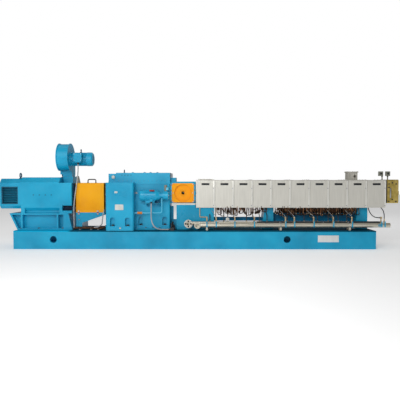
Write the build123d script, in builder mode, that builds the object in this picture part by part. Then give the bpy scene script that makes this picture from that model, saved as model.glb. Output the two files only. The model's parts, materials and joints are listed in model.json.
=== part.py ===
from build123d import *
import os
from math import acos, cos, degrees, pi, radians, sin, tan

os.makedirs("parts", exist_ok=True)

# Twin-screw compounding extruder. Sizes are in millimetres.
# X runs along the machine, from the drive motor to the die. The operator stands on the -Y side.
# The origin is the middle of the base frame's underside.

# Base frame, a welded frame of channels under a deck plate
base_length = 7100.0
base_width = 1100.0
base_height = 360.0
deck_thickness = 20.0
channel_flange_width = 120.0
channel_flange_thickness = 24.0
channel_web = 20.0
end_plate_thickness = 20.0
lifting_bore = 140.0
lifting_sleeve_wall = 24.0
lifting_sleeve_depth = 60.0
lifting_height = 190.0
lifting_places = (-2768.0, 1815.0)
crossmember_width = 160.0
crossmember_web = 16.0
crossmember_count = 5
crossmember_pitch = 1180.0

# Shaft lines, which the heights below are measured from
motor_axis_height = 1050.0
screw_axis_height = 1095.0
screw_spacing = 78.0
seat_gap = 0.3

# Main motor
motor_end = -2454.0
motor_frame_length = 1014.0
motor_half_width = 350.0
motor_shaft_height = 360.0
motor_rise = 360.0
motor_shoulder_rise = 259.0
motor_shoulder_run = 96.0
motor_belly_drop = 308.0
motor_belly_run = 60.0
motor_foot_lengths = (74.0, 246.0)
motor_foot_rise = 112.0
motor_foot_width = 150.0
motor_foot_pocket = (190.0, 105.0, 70.0)
motor_pocket_sill = 52.0
motor_saddle_length = 246.0
motor_saddle_rise = 250.0
drive_shield_thickness = 36.0
drive_shield_inset = 80.0
drive_shield_height = 480.0
drive_shield_corner = 60.0
drive_boss_radius = 150.0
drive_boss_length = 18.0
rear_shield_length = 440.0
rear_shield_inset = 26.0
rear_shield_corner = 18.0
rear_belly_rise = 40.0
louvre_width = 330.0
louvre_height = 350.0
louvre_inset = 68.0
louvre_drop = 2.0
louvre_recess = 60.0
louvre_set_back = 8.0
louvre_frame = 18.0
louvre_count = 9
louvre_blade = 5.0
louvre_blade_depth = 36.0
louvre_tilt = 38.0

# Motor stand
stand_plate = 28.0
stand_foot_overhang = (77.0, 10.0)
stand_head_overhang = (232.0, -70.0)
stand_half_depth = 350.0
stand_web_inset = 115.0
stand_web = 20.0
stand_rib = 34.0
stand_rib_places = (-1001.0, -287.0, -150.0)

# Blower on the motor
blower_seat_x = (-2696.0, -2492.0)
blower_seat_height = 78.0
blower_seat_lip = 26.0
blower_seat_corner = 14.0
blower_flange_thickness = 46.0
blower_y = -100.0
blower_axis_rise = 728.0
scroll_radius = 307.0
scroll_step = 28.0
scroll_x = -2757.0
scroll_width = 236.0
scroll_rim = 14.0
scroll_rim_width = 16.0
scroll_tongue_angle = 288.0
neck_x = (-2706.0, -2521.0)
inlet_radius = 120.0
inlet_lip = 18.0
inlet_depth = 140.0
blower_motor_radius = 118.0
blower_motor_length = 336.0
blower_fin_radius = 136.0
blower_fin_count = 24
blower_fin_thickness = 6.0
blower_cowl_length = 120.0
blower_cowl_lip = 4.0
blower_cowl_round = (40.0, 12.0, 8.0, 36.0)
blower_flange_radius = 150.0
blower_flange_width = 18.0
terminal_box_size = (152.0, 78.0, 180.0)
terminal_box_place = (184.0, 20.0)
terminal_box_chamfer = 30.0
terminal_cover_lip = 4.0
terminal_cover_thickness = 6.0

# Coupling between the motor and the gearbox, and its guard
guard_x = -2394.0
guard_length = 565.0
guard_half_depth = 250.0
guard_drop = 348.0
guard_rise = 248.0
guard_sheet = 8.0
guard_corner = 24.0
guard_shaft_gap = 14.0
guard_handle_length = 184.0
guard_handle_height = 82.0
guard_handle_radius = 11.0
guard_handle_bend = 28.0
guard_handle_shift = 12.0
coupling_shaft_radius = 62.0
coupling_hub_radius = 118.0
coupling_flange_radius = 168.0
coupling_flange_width = 42.0
coupling_hub_length = 150.0
bracket_leg_width = 124.0
bracket_plate = 14.0
bracket_overhang = 12.0
bracket_gusset_end = 50.0
bracket_gusset_rise = 170.0
bracket_gusset_border = (40.0, 20.0)
latch_places = (40.0, 425.0)
latch_size = (34.0, 12.0, 84.0)
latch_knob_radius = 12.0
latch_knob_height = 8.0
sensor_box_size = (62.0, 80.0, 138.0)
sensor_box_head = 32.0
sensor_box_place = (2.0, 60.0)

# Gearbox
input_x = -1740.0
input_length = 550.0
input_half_depth = 540.0
input_rise = 255.0
input_corner = 36.0
seal_half_width = 225.0
seal_height = 560.0
seal_thickness = 60.0
seal_corner = 60.0
seal_drop = 32.0
gearbox_half_depth = 290.0
gearbox_end = -494.0
gearbox_corner = 26.0
gearbox_foot_lip = 46.0
gearbox_foot_height = 40.0
split_flange_height = 30.0
split_flange_lip = 14.0
lid_inset = 16.0
lid_heights = (176.0, 196.0)
lid_step = 164.0
lid_corner = 20.0
pocket_width = 100.0
pocket_height = 168.0
pocket_sill = 92.0
pocket_depth = 64.0
input_pocket_places = (136.0, 430.0)
output_pocket_places = (109.0, 591.0)
breather_radius = 34.0
breather_length = 26.0
breather_place = (114.0, 108.0)
drain_radius = 22.0
drain_length = 8.0
drain_place = (284.0, 52.0)

# Lubrication unit on the gearbox's front face
lube_axis_height = 1050.0
lube_standoff = 130.0
lube_motor_x = -1084.0
lube_cowl_length = 105.0
lube_cowl_round = 30.0
lube_motor_radius = 104.0
lube_body_length = 200.0
lube_fin_radius = 110.0
lube_fin_height = 10.0
lube_fin_thickness = 6.0
lube_fin_count = 20
lube_bell_length = 95.0
lube_bell_rim = 18.0
lube_bell_collar = 16.0
lube_pump_length = 168.0
lube_pump_radius = 78.0
lube_pump_neck = 60.0
lube_neck_radius = 50.0
lube_bracket_thickness = 16.0
lube_bracket_drop = 58.0
lube_bracket_toe = 20.0
lube_bracket_x = (-955.0, -686.0)
lube_bracket_reach = 160.0
lube_foot_height = 36.0
lube_foot_width = 120.0
lube_foot_shift = 25.0
lube_foot_inset = 10.0
lube_filter_radius = 30.0
lube_filter_height = 120.0
lube_filter_neck = 16.0
lube_filter_seat = 44.0
lube_filter_foot = 8.0
lube_filter_neck_radius = 24.0
lube_filter_chamfer = 10.0
lube_pipe_radius = 13.0
lube_pipe_drop = 346.0
lube_pipe_x = -647.0
lube_pipe_bend = 45.0
lube_valve_x = (-1134.0, -1034.0)
lube_valve_radius = 24.0
lube_entry_size = (60.0, 50.0, 50.0)
lube_entry_place = (-851.0, -480.0)
lube_entry_drop = 120.0

# Eyebolts: ring, wire and collar radius and collar height, for the motor and for the smaller ones
motor_eye = (42.0, 12.0, 34.0, 16.0)
small_eye = (24.0, 8.0, 22.0, 12.0)
motor_eye_places = (47.0, 329.0)
motor_eye_inset = 141.0
blower_eye_place = 205.0
gearbox_eye_place = 288.0

# Lantern between the gearbox and the first barrel, its cap, seat and stand
lantern_end = 20.0
lantern_drop = 205.0
lantern_rise = 230.0
lantern_half_depth = 250.0
lantern_end_wall = 34.0
lantern_sill = 14.0
lantern_head = 33.0
lantern_chamfer = 28.0
lantern_window_corner = 30.0
lantern_cap_length = 113.0
lantern_cap_half_depth = 180.0
lantern_cap_rise = 308.0
lantern_guard_thickness = 10.0
lantern_dish_radius = 168.0
lantern_dish_depth = 34.0
lantern_eye_radius = 30.0
lantern_seat_x = (-372.0, 20.0)
lantern_seat_half_depth = 262.0
lantern_seat_thickness = 34.0
lantern_stand_x = (-365.0, 391.0)
lantern_stand_half_depth = 270.0
lantern_stand_step = 295.0
lantern_stand_corner = 8.0
shaft_hole_gap = 4.0
switch_size = (46.0, 60.0, 84.0)
switch_inset = 2.0

# Screws: a self-wiping profile, whose flanks are arcs of the wiping radius
screw_radius = 47.2
screw_bore_gap = 0.6
screw_wipe_gap = 0.4
screw_shaft_radius = 30.0
screw_lead = 142.5
screw_element_length = 240.0
screw_end_gap = 2.0

# Barrels and covers
barrel_count = 10
barrel_pitch = 380.0
barrel_x = 30.0
barrel_body_half = 125.0
barrel_flange_half = 160.0
barrel_flange_thickness = 46.0
barrel_chamfer = 30.0
barrel_joint_gap = 0.4
cover_half_depth = 300.0
cover_drop = 293.0
cover_rise = 262.0
cover_sheet = 6.0
cover_gap = 5.0
cover_corner = 22.0
cover_strip_width = 52.0
cover_strip_proud = 4.0
cover_spacer_width = 110.0
cover_spacer_thickness = 24.0
cover_hole_gap = 0.5
grip_slot_width = 158.0
grip_slot_height = 40.0
grip_slot_rise = 178.0

# Barrel stands and the cable trough between them
barrel_stand_seams = (4, 9)
barrel_stand_foot_width = (241.0, 255.0)
barrel_stand_head_width = (175.0, 185.0)
barrel_stand_half_depth = 190.0
barrel_stand_drop = 283.0
barrel_stand_neck_width = 92.0
barrel_stand_neck_half_depth = 120.0
trough_y = 20.0
trough_width = 130.0
trough_wall = 6.0
trough_bottoms = (160.0, 150.0)
trough_heights = (72.0, 174.0)

# Cooling water pipes, measured from the deck
supply_radius = 45.0
supply_y = -450.0
supply_rise = 104.0
supply_x = (58.0, 3852.0)
supply_reach = 67.5
supply_inlet_radius = 62.0
pipe_wall = 5.0
return_radius = 38.0
return_y = -335.0
return_rise = 132.0
return_x = (-121.0, 3700.0)
return_reach = 130.0
return_flange_radius = 82.0
return_bolt_radius = 9.0
return_bolt_circle = 62.5
return_bolt_count = 4
pipe_flange_thickness = 22.0
pipe_leg_places = (245.0, 1700.0, 3060.0)
pipe_leg_width = 40.0
branch_places = (245.0, 429.0, 795.0, 1181.0, 1795.0, 1969.0, 2350.0, 2736.0, 3102.0)
hose_places = (3676.0, 3740.0)
branch_radius = 11.0
branch_elbow_radius = 19.0
branch_elbow_rise = 252.0
branch_rear_y = -100.0
first_branch_x = 103.0
first_branch_y = -282.0
first_branch_radius = 10.0
first_branch_inlet = 85.0
valve_radius = 20.0
valve_height = 46.0
valve_lever_width = 24.0
valve_lever_thickness = 6.0
valve_lever_drop = 120.0
valve_lever_gap = 8.0
valve_stem_radius = 8.0

# Ports on the barrels
feed_barrel_number = 0
feed_opening = (230.0, 110.0)
feed_wall = 12.0
feed_flange_lip = 42.0
feed_flange_thickness = 14.0
feed_rise = 3.0
feed_bolt_radius = 6.5
feed_bolt_edge = 18.0
vent_barrel_number = 8
vent_box = (200.0, 180.0)
vent_place = 150.0
vent_wall = 14.0
vent_throat = (160.0, 100.0)
vent_flange_lip = 12.0
vent_flange_thickness = 22.0
vent_rise = 433.0
vent_side_port_radius = 26.0
vent_side_port_rim = 8.0
vent_side_port_place = 40.0

# Die
adapter_thickness = 46.0
adapter_half = 190.0
die_length = 224.0
die_half_depth = 235.0
die_drop = 205.0
die_rise = 270.0
die_chamfer = 20.0
die_slot_width = 30.0
die_slot_height = 210.0
die_slot_depth = 60.0
die_slot_inset = 51.0
die_lip_half_width = 200.0
die_lip_half_height = 44.0
die_lip_length = 26.0
die_lip_chamfer = 10.0

# Melt sensors
sensor_stem_radius = 12.0
sensor_head_length = 84.0
sensor_head_width = 60.0
sensor_head_bottom = 345.0
sensor_head_height = 94.0
sensor_places = (23.0, 136.0)
sensor_head_shifts = (-30.0, 0.0)

# Conduits and hoses: the points of each route, from its exit to its far end
conduit_radius = 12.5
gland_radius = 19.0
gland_length = 34.0
entry_box_size = (70.0, 60.0, 52.0)
hose_radius = 9.0
hose_ferrule_wall = 3.0
blower_conduit_route = [
    (-2337.0, -275.0, 1674.0), (-2337.0, -275.0, 1570.0), (-2346.0, -287.0, 1405.0),
    (-2373.0, -302.0, 1210.0), (-2404.0, -308.0, 990.0), (-2425.0, -306.0, 780.0),
    (-2421.0, -300.0, 580.0), (-2421.0, -300.0, 394.0),
]
lube_conduit_route = [
    (-851.0, -480.0, 896.0), (-851.0, -480.0, 800.0), (-854.0, -484.0, 690.0),
    (-850.0, -485.0, 580.0), (-826.0, -480.0, 484.0), (-772.0, -472.0, 412.0),
    (-696.0, -465.0, 381.0), (-605.0, -458.0, 379.0), (-510.0, -458.0, 379.0),
]
cooling_hose_route = [
    (3657.0, -450.0, 612.0), (3596.0, -450.0, 612.0), (3540.0, -434.0, 630.0),
    (3503.0, -388.0, 672.0), (3493.0, -316.0, 724.0), (3502.0, -238.0, 770.0),
    (3519.0, -168.0, 812.0), (3535.0, -122.0, 858.0), (3540.0, -105.0, 908.0),
    (3540.0, -105.0, 950.0),
]
drain_hose_route = [
    (3740.0, -450.0, 590.0), (3740.0, -450.0, 646.0), (3741.0, -432.0, 700.0),
    (3741.0, -386.0, 748.0), (3740.0, -316.0, 783.0), (3739.0, -238.0, 810.0),
    (3740.0, -168.0, 842.0), (3740.0, -124.0, 884.0), (3740.0, -110.0, 932.0),
    (3740.0, -110.0, 960.0),
]

front = -1
rear = 1
deck_underside = base_height - deck_thickness


def prism(points, plane, amount, mode=Mode.ADD):
    # A closed outline of straight lines, extruded from its plane.
    with BuildSketch(plane) as outline:
        with BuildLine():
            Polyline(*points, close=True)
        make_face()
    extrude(outline.sketch, amount=amount, mode=mode)


def plate(plane, centre, width, height, amount, mode=Mode.ADD):
    # A rectangle about a centre on its plane, extruded.
    with BuildSketch(plane) as outline:
        with Locations(centre):
            Rectangle(width, height)
    extrude(outline.sketch, amount=amount, mode=mode)


def disc(plane, centre, radius, amount, mode=Mode.ADD):
    # A round plate, boss or hole.
    with BuildSketch(plane) as outline:
        with Locations(centre):
            Circle(radius)
    extrude(outline.sketch, amount=amount, mode=mode)


def hood_section(plane, half_width, bottom, top, corner, sheet):
    # An inverted trough of sheet with rounded top corners.
    height = top - bottom
    with BuildSketch(plane) as hood:
        with Locations((0, bottom)):
            RectangleRounded(2 * half_width, 2 * height, corner)
            RectangleRounded(2 * (half_width - sheet), 2 * (height - sheet), corner - sheet,
                             mode=Mode.SUBTRACT)
        with Locations((0, bottom - height)):
            Rectangle(2 * half_width, 2 * height, mode=Mode.SUBTRACT)
    return hood.sketch


def face_plane(side, distance):
    # The upright plane at a distance from the centre line, front or rear. Its normal is -Y.
    return Plane.XZ.offset(-side * distance)


def cross_plane(x, y, z):
    # The plane square to the machine's length through a point.
    return Plane(origin=(x, y, z), x_dir=(0, 1, 0), z_dir=(1, 0, 0))


def lifting_eye(x, y, z, sizes):
    # An eyebolt with its collar on the surface at height z and its ring across the machine.
    ring, wire, collar, collar_height = sizes
    with BuildPart() as eye:
        disc(Plane.XY.offset(z), (x, y), collar, collar_height)
        with BuildSketch(cross_plane(x - wire, y, z + collar_height + ring + wire / 2)):
            Circle(ring + wire)
            Circle(ring - wire, mode=Mode.SUBTRACT)
        extrude(amount=2 * wire)
    return eye.part


def route_tube(points, radius):
    # A tube along straight runs joined by arcs as large as each pair of runs allows.
    corners = [Vector(*point) for point in points]
    radii = []
    for before, at, after in zip(corners, corners[1:], corners[2:]):
        turn = (at - before).get_angle(after - at)
        run = min((at - before).length, (after - at).length)
        radii.append(0.45 * run / tan(radians(turn / 2)))
    with BuildPart() as tube:
        with BuildLine() as path:
            FilletPolyline(*points, radius=radii)
        with BuildSketch(Plane(origin=corners[0], z_dir=corners[1] - corners[0])):
            Circle(radius)
        sweep(path=path.line)
    length = sum(edge.length for edge in path.edges())
    share = tube.part.volume / (pi * radius ** 2 * length)
    print("bend radii", [round(value) for value in radii], "length", round(length),
          "volume over section times length", round(share, 4))
    return tube.part


# Base frame
beam_length = base_length - 2 * end_plate_thickness
flange_tip = base_width / 2 - channel_flange_width


def channel_beam(side):
    outer = side * base_width / 2
    inner = side * (base_width / 2 - channel_web)
    tip = side * flange_tip
    upper = deck_underside - channel_flange_thickness
    with BuildPart() as beam:
        prism(
            [(outer, 0), (outer, deck_underside), (tip, deck_underside), (tip, upper),
             (inner, upper), (inner, channel_flange_thickness), (tip, channel_flange_thickness),
             (tip, 0)],
            Plane.YZ.offset(-beam_length / 2), beam_length,
        )
        for x in lifting_places:
            place = (x, lifting_height)
            sleeve = lifting_bore / 2 + lifting_sleeve_wall
            disc(face_plane(side, base_width / 2), place, sleeve, side * lifting_sleeve_depth)
            disc(face_plane(side, base_width / 2), place, lifting_bore / 2,
                 side * lifting_sleeve_depth, Mode.SUBTRACT)
    return beam.part


with BuildPart() as base_side_beams:
    add([channel_beam(side) for side in (front, rear)])
base_side_beams.part.label = "base_side_beams"
export_step(base_side_beams.part, "parts/base_side_beams.step")

with BuildPart() as base_end_plates:
    for start in (-base_length / 2, base_length / 2 - end_plate_thickness):
        plate(Plane.YZ.offset(start), (0, deck_underside / 2), base_width, deck_underside,
              end_plate_thickness)
base_end_plates.part.label = "base_end_plates"
export_step(base_end_plates.part, "parts/base_end_plates.step")

with BuildPart() as base_crossmembers:
    for number in range(crossmember_count):
        x = (number - (crossmember_count - 1) / 2) * crossmember_pitch
        for z in (channel_flange_thickness / 2, deck_underside - channel_flange_thickness / 2):
            plate(face_plane(rear, flange_tip), (x, z), crossmember_width,
                  channel_flange_thickness, 2 * flange_tip)
        plate(face_plane(rear, flange_tip), (x, deck_underside / 2), crossmember_web,
              deck_underside, 2 * flange_tip)
base_crossmembers.part.label = "base_crossmembers"
export_step(base_crossmembers.part, "parts/base_crossmembers.step")

with BuildPart() as base_deck:
    plate(Plane.XY.offset(deck_underside), (0, 0), base_length, base_width, deck_thickness)
base_deck.part.label = "base_deck"
export_step(base_deck.part, "parts/base_deck.step")

# Motor stand: top and foot plates, slanted ends, two webs and ribs
motor_x = motor_end - motor_frame_length
stand_top = motor_axis_height - motor_shaft_height


def slanted(height, foot, head):
    return foot + (head - foot) * (height - base_height) / (stand_top - base_height)


def stand_left(height):
    return slanted(height, motor_x - stand_foot_overhang[0], motor_x - stand_head_overhang[0])


def stand_right(height):
    return slanted(height, motor_end + stand_foot_overhang[1], motor_end + stand_head_overhang[1])


with BuildPart() as motor_stand:
    low = base_height + stand_plate
    high = stand_top - stand_plate
    prism([(stand_left(base_height), base_height), (stand_right(base_height), base_height),
           (stand_right(stand_top), stand_top), (stand_left(stand_top), stand_top)],
          face_plane(rear, stand_half_depth), 2 * stand_half_depth)
    ribs = [motor_end + place for place in stand_rib_places]
    bays = [(stand_left(low) + stand_rib, stand_left(high) + stand_rib, ribs[0] - stand_rib / 2)]
    bays += [(left + stand_rib / 2, left + stand_rib / 2, right - stand_rib / 2)
             for left, right in zip(ribs, ribs[1:])]
    for side in (front, rear):
        for left_low, left_high, right in bays:
            prism([(left_low, low), (right, low), (right, high), (left_high, high)],
                  face_plane(side, stand_half_depth), side * stand_web_inset, Mode.SUBTRACT)
    hollow = stand_half_depth - stand_web_inset - stand_web
    prism([(stand_left(low) + stand_rib, low), (stand_right(low) - stand_rib, low),
           (stand_right(high) - stand_rib, high), (stand_left(high) + stand_rib, high)],
          face_plane(rear, hollow), 2 * hollow, Mode.SUBTRACT)
motor_stand.part.label = "motor_stand"
export_step(motor_stand.part, "parts/motor_stand.step")

# Motor frame with sloped shoulders, feet at its ends and a lower saddle for the blower
motor_top = motor_axis_height + motor_rise
motor_shoulder = motor_axis_height + motor_shoulder_rise
motor_belly = motor_axis_height - motor_belly_drop
motor_saddle = motor_axis_height + motor_saddle_rise


def motor_section(inset, belly):
    half = motor_half_width - inset
    top = motor_top - inset
    shoulder = motor_shoulder - inset / 2
    return [(-half + motor_belly_run, belly), (half - motor_belly_run, belly),
            (half, belly + motor_belly_run), (half, shoulder), (half - motor_shoulder_run, top),
            (-half + motor_shoulder_run, top), (-half, shoulder), (-half, belly + motor_belly_run)]


with BuildPart() as motor_frame:
    prism(motor_section(0, motor_belly), Plane.YZ.offset(motor_x), motor_frame_length)
    left_foot, right_foot = motor_foot_lengths
    for side in (front, rear):
        centre = side * (motor_half_width - motor_foot_width / 2)
        for start, length in ((motor_x, left_foot), (motor_end - right_foot, right_foot)):
            plate(Plane.YZ.offset(start), (centre, stand_top + motor_foot_rise / 2),
                  motor_foot_width, motor_foot_rise, length)
        length, height, depth = motor_foot_pocket
        plate(face_plane(side, motor_half_width),
              (motor_end - length / 2, stand_top + motor_pocket_sill + height / 2),
              length, height, side * depth, Mode.SUBTRACT)
    plate(Plane.XY.offset(motor_saddle), (motor_end - motor_saddle_length / 2, 0),
          motor_saddle_length, 2 * motor_half_width, motor_top - motor_saddle, Mode.SUBTRACT)
motor_frame.part.label = "motor_frame"
export_step(motor_frame.part, "parts/motor_frame.step")

with BuildPart() as motor_drive_end_shield:
    with BuildSketch(Plane.YZ.offset(motor_end)):
        with Locations((0, motor_axis_height)):
            RectangleRounded(2 * (motor_half_width - drive_shield_inset), drive_shield_height,
                             drive_shield_corner)
    extrude(amount=drive_shield_thickness)
    disc(Plane.YZ.offset(motor_end + drive_shield_thickness), (0, motor_axis_height),
         drive_boss_radius, drive_boss_length)
    disc(Plane.YZ.offset(motor_end), (0, motor_axis_height), coupling_shaft_radius + seat_gap,
         drive_shield_thickness + drive_boss_length, Mode.SUBTRACT)
motor_drive_end_shield.part.label = "motor_drive_end_shield"
export_step(motor_drive_end_shield.part, "parts/motor_drive_end_shield.step")

louvre_x = motor_x - louvre_inset - louvre_width / 2
louvre_z = motor_axis_height - louvre_drop
with BuildPart() as motor_rear_end_shield:
    prism(motor_section(rear_shield_inset, motor_belly + rear_belly_rise),
          Plane.YZ.offset(motor_x - rear_shield_length), rear_shield_length)
    fillet(motor_rear_end_shield.faces().sort_by(Axis.X)[0].edges(), radius=rear_shield_corner)
    for side in (front, rear):
        plate(face_plane(side, motor_half_width - rear_shield_inset), (louvre_x, louvre_z),
              louvre_width, louvre_height, side * louvre_recess, Mode.SUBTRACT)
motor_rear_end_shield.part.label = "motor_rear_end_shield"
export_step(motor_rear_end_shield.part, "parts/motor_rear_end_shield.step")

with BuildPart() as motor_louvres:
    blade_step = (louvre_height - 2 * louvre_frame) / louvre_count
    back = motor_half_width - rear_shield_inset - louvre_recess
    for side in (front, rear):
        with BuildSketch(face_plane(side, back)) as rim:
            with Locations((louvre_x, louvre_z)):
                Rectangle(louvre_width - 2 * seat_gap, louvre_height - 2 * seat_gap)
                Rectangle(louvre_width - 2 * louvre_frame, louvre_height - 2 * louvre_frame,
                          mode=Mode.SUBTRACT)
        extrude(rim.sketch, amount=-side * (louvre_recess - louvre_set_back))
        for number in range(louvre_count):
            z = louvre_z - louvre_height / 2 + louvre_frame + blade_step * (number + 0.5)
            y = side * (back + louvre_recess / 2)
            with Locations(Location((louvre_x, y, z), (side * louvre_tilt, 0, 0))):
                Box(louvre_width - 2 * louvre_frame + 2, louvre_blade_depth, louvre_blade)
motor_louvres.part.label = "motor_louvres"
export_step(motor_louvres.part, "parts/motor_louvres.step")

# Blower: scroll housing with its outlet neck, the seat under it, finned motor and terminal box
blower_axis_height = motor_axis_height + blower_axis_rise
seat_top = motor_saddle + blower_seat_height
flange_top = seat_top + blower_flange_thickness
neck_shoulder = blower_axis_height - scroll_radius
tongue_radius = scroll_radius - 3 * scroll_step
tongue_y = blower_y - scroll_step + tongue_radius * cos(radians(scroll_tongue_angle))
outlet_y = blower_y + scroll_radius
outlet_centre = (outlet_y + tongue_y) / 2
outlet_width = outlet_y - tongue_y
with BuildPart() as blower_seat:
    plate(Plane.XY.offset(motor_saddle), (sum(blower_seat_x) / 2, outlet_centre),
          blower_seat_x[1] - blower_seat_x[0], outlet_width + 2 * blower_seat_lip, blower_seat_height)
    fillet(blower_seat.edges().filter_by(Axis.Z), radius=blower_seat_corner)
blower_seat.part.label = "blower_seat"
export_step(blower_seat.part, "parts/blower_seat.step")


def scroll_outline(plane, grow):
    # Four quarter arcs whose radii shrink by one step each, then the straight outlet.
    with BuildSketch(plane) as scroll:
        with BuildLine():
            centres = [(blower_y, blower_axis_height),
                       (blower_y, blower_axis_height + scroll_step),
                       (blower_y - scroll_step, blower_axis_height + scroll_step),
                       (blower_y - scroll_step, blower_axis_height)]
            arcs = []
            for number, centre in enumerate(centres):
                sweep_angle = 90 if number < 3 else scroll_tongue_angle - 270
                arcs.append(CenterArc(centre, scroll_radius + grow - number * scroll_step,
                                      90 * number, sweep_angle))
            outlet = arcs[0] @ 0
            tongue = arcs[3] @ 1
            Polyline((outlet.X, outlet.Y), (outlet.X, neck_shoulder), (tongue.X, neck_shoulder),
                     (tongue.X, tongue.Y))
        make_face()
    return scroll.sketch


with BuildPart() as blower_volute:
    extrude(scroll_outline(Plane.YZ.offset(scroll_x), 0), amount=scroll_width)
    for start in (scroll_x, scroll_x + scroll_width - scroll_rim_width):
        extrude(scroll_outline(Plane.YZ.offset(start), scroll_rim), amount=scroll_rim_width)
    plate(Plane.XY.offset(flange_top), (sum(neck_x) / 2, outlet_centre), neck_x[1] - neck_x[0],
          outlet_width, neck_shoulder - flange_top)
    plate(Plane.XY.offset(seat_top), (sum(blower_seat_x) / 2, outlet_centre),
          blower_seat_x[1] - blower_seat_x[0], outlet_width + 2 * blower_seat_lip,
          blower_flange_thickness)
    disc(Plane.YZ.offset(scroll_x - inlet_lip), (blower_y, blower_axis_height),
         inlet_radius + inlet_lip, inlet_lip)
    disc(Plane.YZ.offset(scroll_x - inlet_lip), (blower_y, blower_axis_height),
         inlet_radius, inlet_lip + inlet_depth, Mode.SUBTRACT)
blower_volute.part.label = "blower_volute"
export_step(blower_volute.part, "parts/blower_volute.step")

blower_motor_x = scroll_x + scroll_width
with BuildPart() as blower_motor:
    blower_centre = (blower_y, blower_axis_height)
    disc(Plane.YZ.offset(blower_motor_x), blower_centre, blower_flange_radius, blower_flange_width)
    disc(Plane.YZ.offset(blower_motor_x), blower_centre, blower_motor_radius, blower_motor_length)
    with Locations(Location((blower_motor_x + blower_motor_length / 2, blower_y,
                             blower_axis_height), (0, 90, 0))):
        with PolarLocations(blower_motor_radius, blower_fin_count):
            Box(2 * (blower_fin_radius - blower_motor_radius), blower_fin_thickness,
                blower_motor_length)
    with BuildSketch(Plane.XZ.offset(-blower_y)):
        with BuildLine():
            run, lip, inward, drop = blower_cowl_round
            cowl_x = blower_motor_x + blower_motor_length
            cowl_end = cowl_x + blower_cowl_length
            rim_height = blower_axis_height + blower_fin_radius + blower_cowl_lip
            end_height = blower_axis_height + blower_fin_radius - drop
            Polyline((cowl_x, blower_axis_height), (cowl_x, rim_height), (cowl_end - run, rim_height))
            ThreePointArc((cowl_end - run, rim_height),
                          (cowl_end - lip, blower_axis_height + blower_fin_radius - inward),
                          (cowl_end, end_height))
            Polyline((cowl_end, end_height), (cowl_end, blower_axis_height),
                     (cowl_x, blower_axis_height))
        make_face()
    revolve(axis=Axis((0, blower_y, blower_axis_height), (1, 0, 0)))
blower_motor.part.label = "blower_motor"
export_step(blower_motor.part, "parts/blower_motor.step")

box_length, box_depth, box_height = terminal_box_size
terminal_x = blower_motor_x + terminal_box_place[0]
terminal_z = blower_axis_height + terminal_box_place[1]
terminal_back = blower_fin_radius + seat_gap - blower_y
with BuildPart() as blower_terminal_box:
    plate(Plane.XZ.offset(terminal_back), (terminal_x, terminal_z), box_length, box_height, box_depth)
    chamfer(blower_terminal_box.edges().filter_by(Axis.Y).group_by(Axis.Z)[0],
            length=terminal_box_chamfer)
    plate(Plane.XZ.offset(terminal_back + box_depth),
          (terminal_x, terminal_z + terminal_box_chamfer / 2), box_length + 2 * terminal_cover_lip,
          box_height - terminal_box_chamfer, terminal_cover_thickness)
blower_terminal_box.part.label = "blower_terminal_box"
export_step(blower_terminal_box.part, "parts/blower_terminal_box.step")

# Shaft coupling, turned about the motor's axis
guard_end = guard_x + guard_length
coupling_middle = (guard_x + guard_end) / 2
with BuildPart() as shaft_coupling:
    with BuildSketch(Plane.XZ):
        with BuildLine():
            shaft_edge = motor_axis_height + coupling_shaft_radius
            hub_edge = motor_axis_height + coupling_hub_radius
            flange_edge = motor_axis_height + coupling_flange_radius
            flange_left = coupling_middle - coupling_flange_width / 2
            flange_right = coupling_middle + coupling_flange_width / 2
            hub_left = coupling_middle - coupling_hub_length
            hub_right = coupling_middle + coupling_hub_length
            Polyline((motor_end, motor_axis_height), (motor_end, shaft_edge), (hub_left, shaft_edge),
                     (hub_left, hub_edge), (flange_left, hub_edge), (flange_left, flange_edge),
                     (flange_right, flange_edge), (flange_right, hub_edge), (hub_right, hub_edge),
                     (hub_right, shaft_edge), (input_x, shaft_edge), (input_x, motor_axis_height),
                     close=True)
        make_face()
    revolve(axis=Axis((0, 0, motor_axis_height), (1, 0, 0)))
shaft_coupling.part.label = "shaft_coupling"
export_step(shaft_coupling.part, "parts/shaft_coupling.step")

# Coupling guard: a folded hood with shaft slots in its ends
guard_bottom = motor_axis_height - guard_drop
guard_top = motor_axis_height + guard_rise
with BuildPart() as coupling_guard:
    extrude(hood_section(Plane.YZ.offset(guard_x), guard_half_depth, guard_bottom, guard_top,
                         guard_corner, guard_sheet), amount=guard_length)
    for start in (guard_x, guard_end - guard_sheet):
        plate(Plane.YZ.offset(start), (0, (guard_bottom + guard_top - guard_sheet) / 2),
              2 * guard_half_depth - guard_sheet, guard_top - guard_bottom - guard_sheet,
              guard_sheet)
    slot_radius = coupling_shaft_radius + guard_shaft_gap
    disc(Plane.YZ.offset(guard_x), (0, motor_axis_height), slot_radius, guard_length, Mode.SUBTRACT)
    plate(Plane.YZ.offset(guard_x), (0, (guard_bottom + motor_axis_height) / 2), 2 * slot_radius,
          motor_axis_height - guard_bottom, guard_length, Mode.SUBTRACT)
coupling_guard.part.label = "coupling_guard"
export_step(coupling_guard.part, "parts/coupling_guard.step")

handle_x = coupling_middle - guard_handle_shift
with BuildPart() as guard_handle:
    with BuildLine() as grip:
        reach = guard_handle_length / 2 - guard_handle_radius
        peak = guard_top + guard_handle_height - guard_handle_radius
        FilletPolyline((handle_x - reach, 0, guard_top), (handle_x - reach, 0, peak),
                       (handle_x + reach, 0, peak), (handle_x + reach, 0, guard_top),
                       radius=guard_handle_bend)
    with BuildSketch(Plane.XY.offset(guard_top)):
        with Locations((handle_x - reach, 0)):
            Circle(guard_handle_radius)
    sweep(path=grip.line)
guard_handle.part.label = "guard_handle"
export_step(guard_handle.part, "parts/guard_handle.step")

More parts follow.
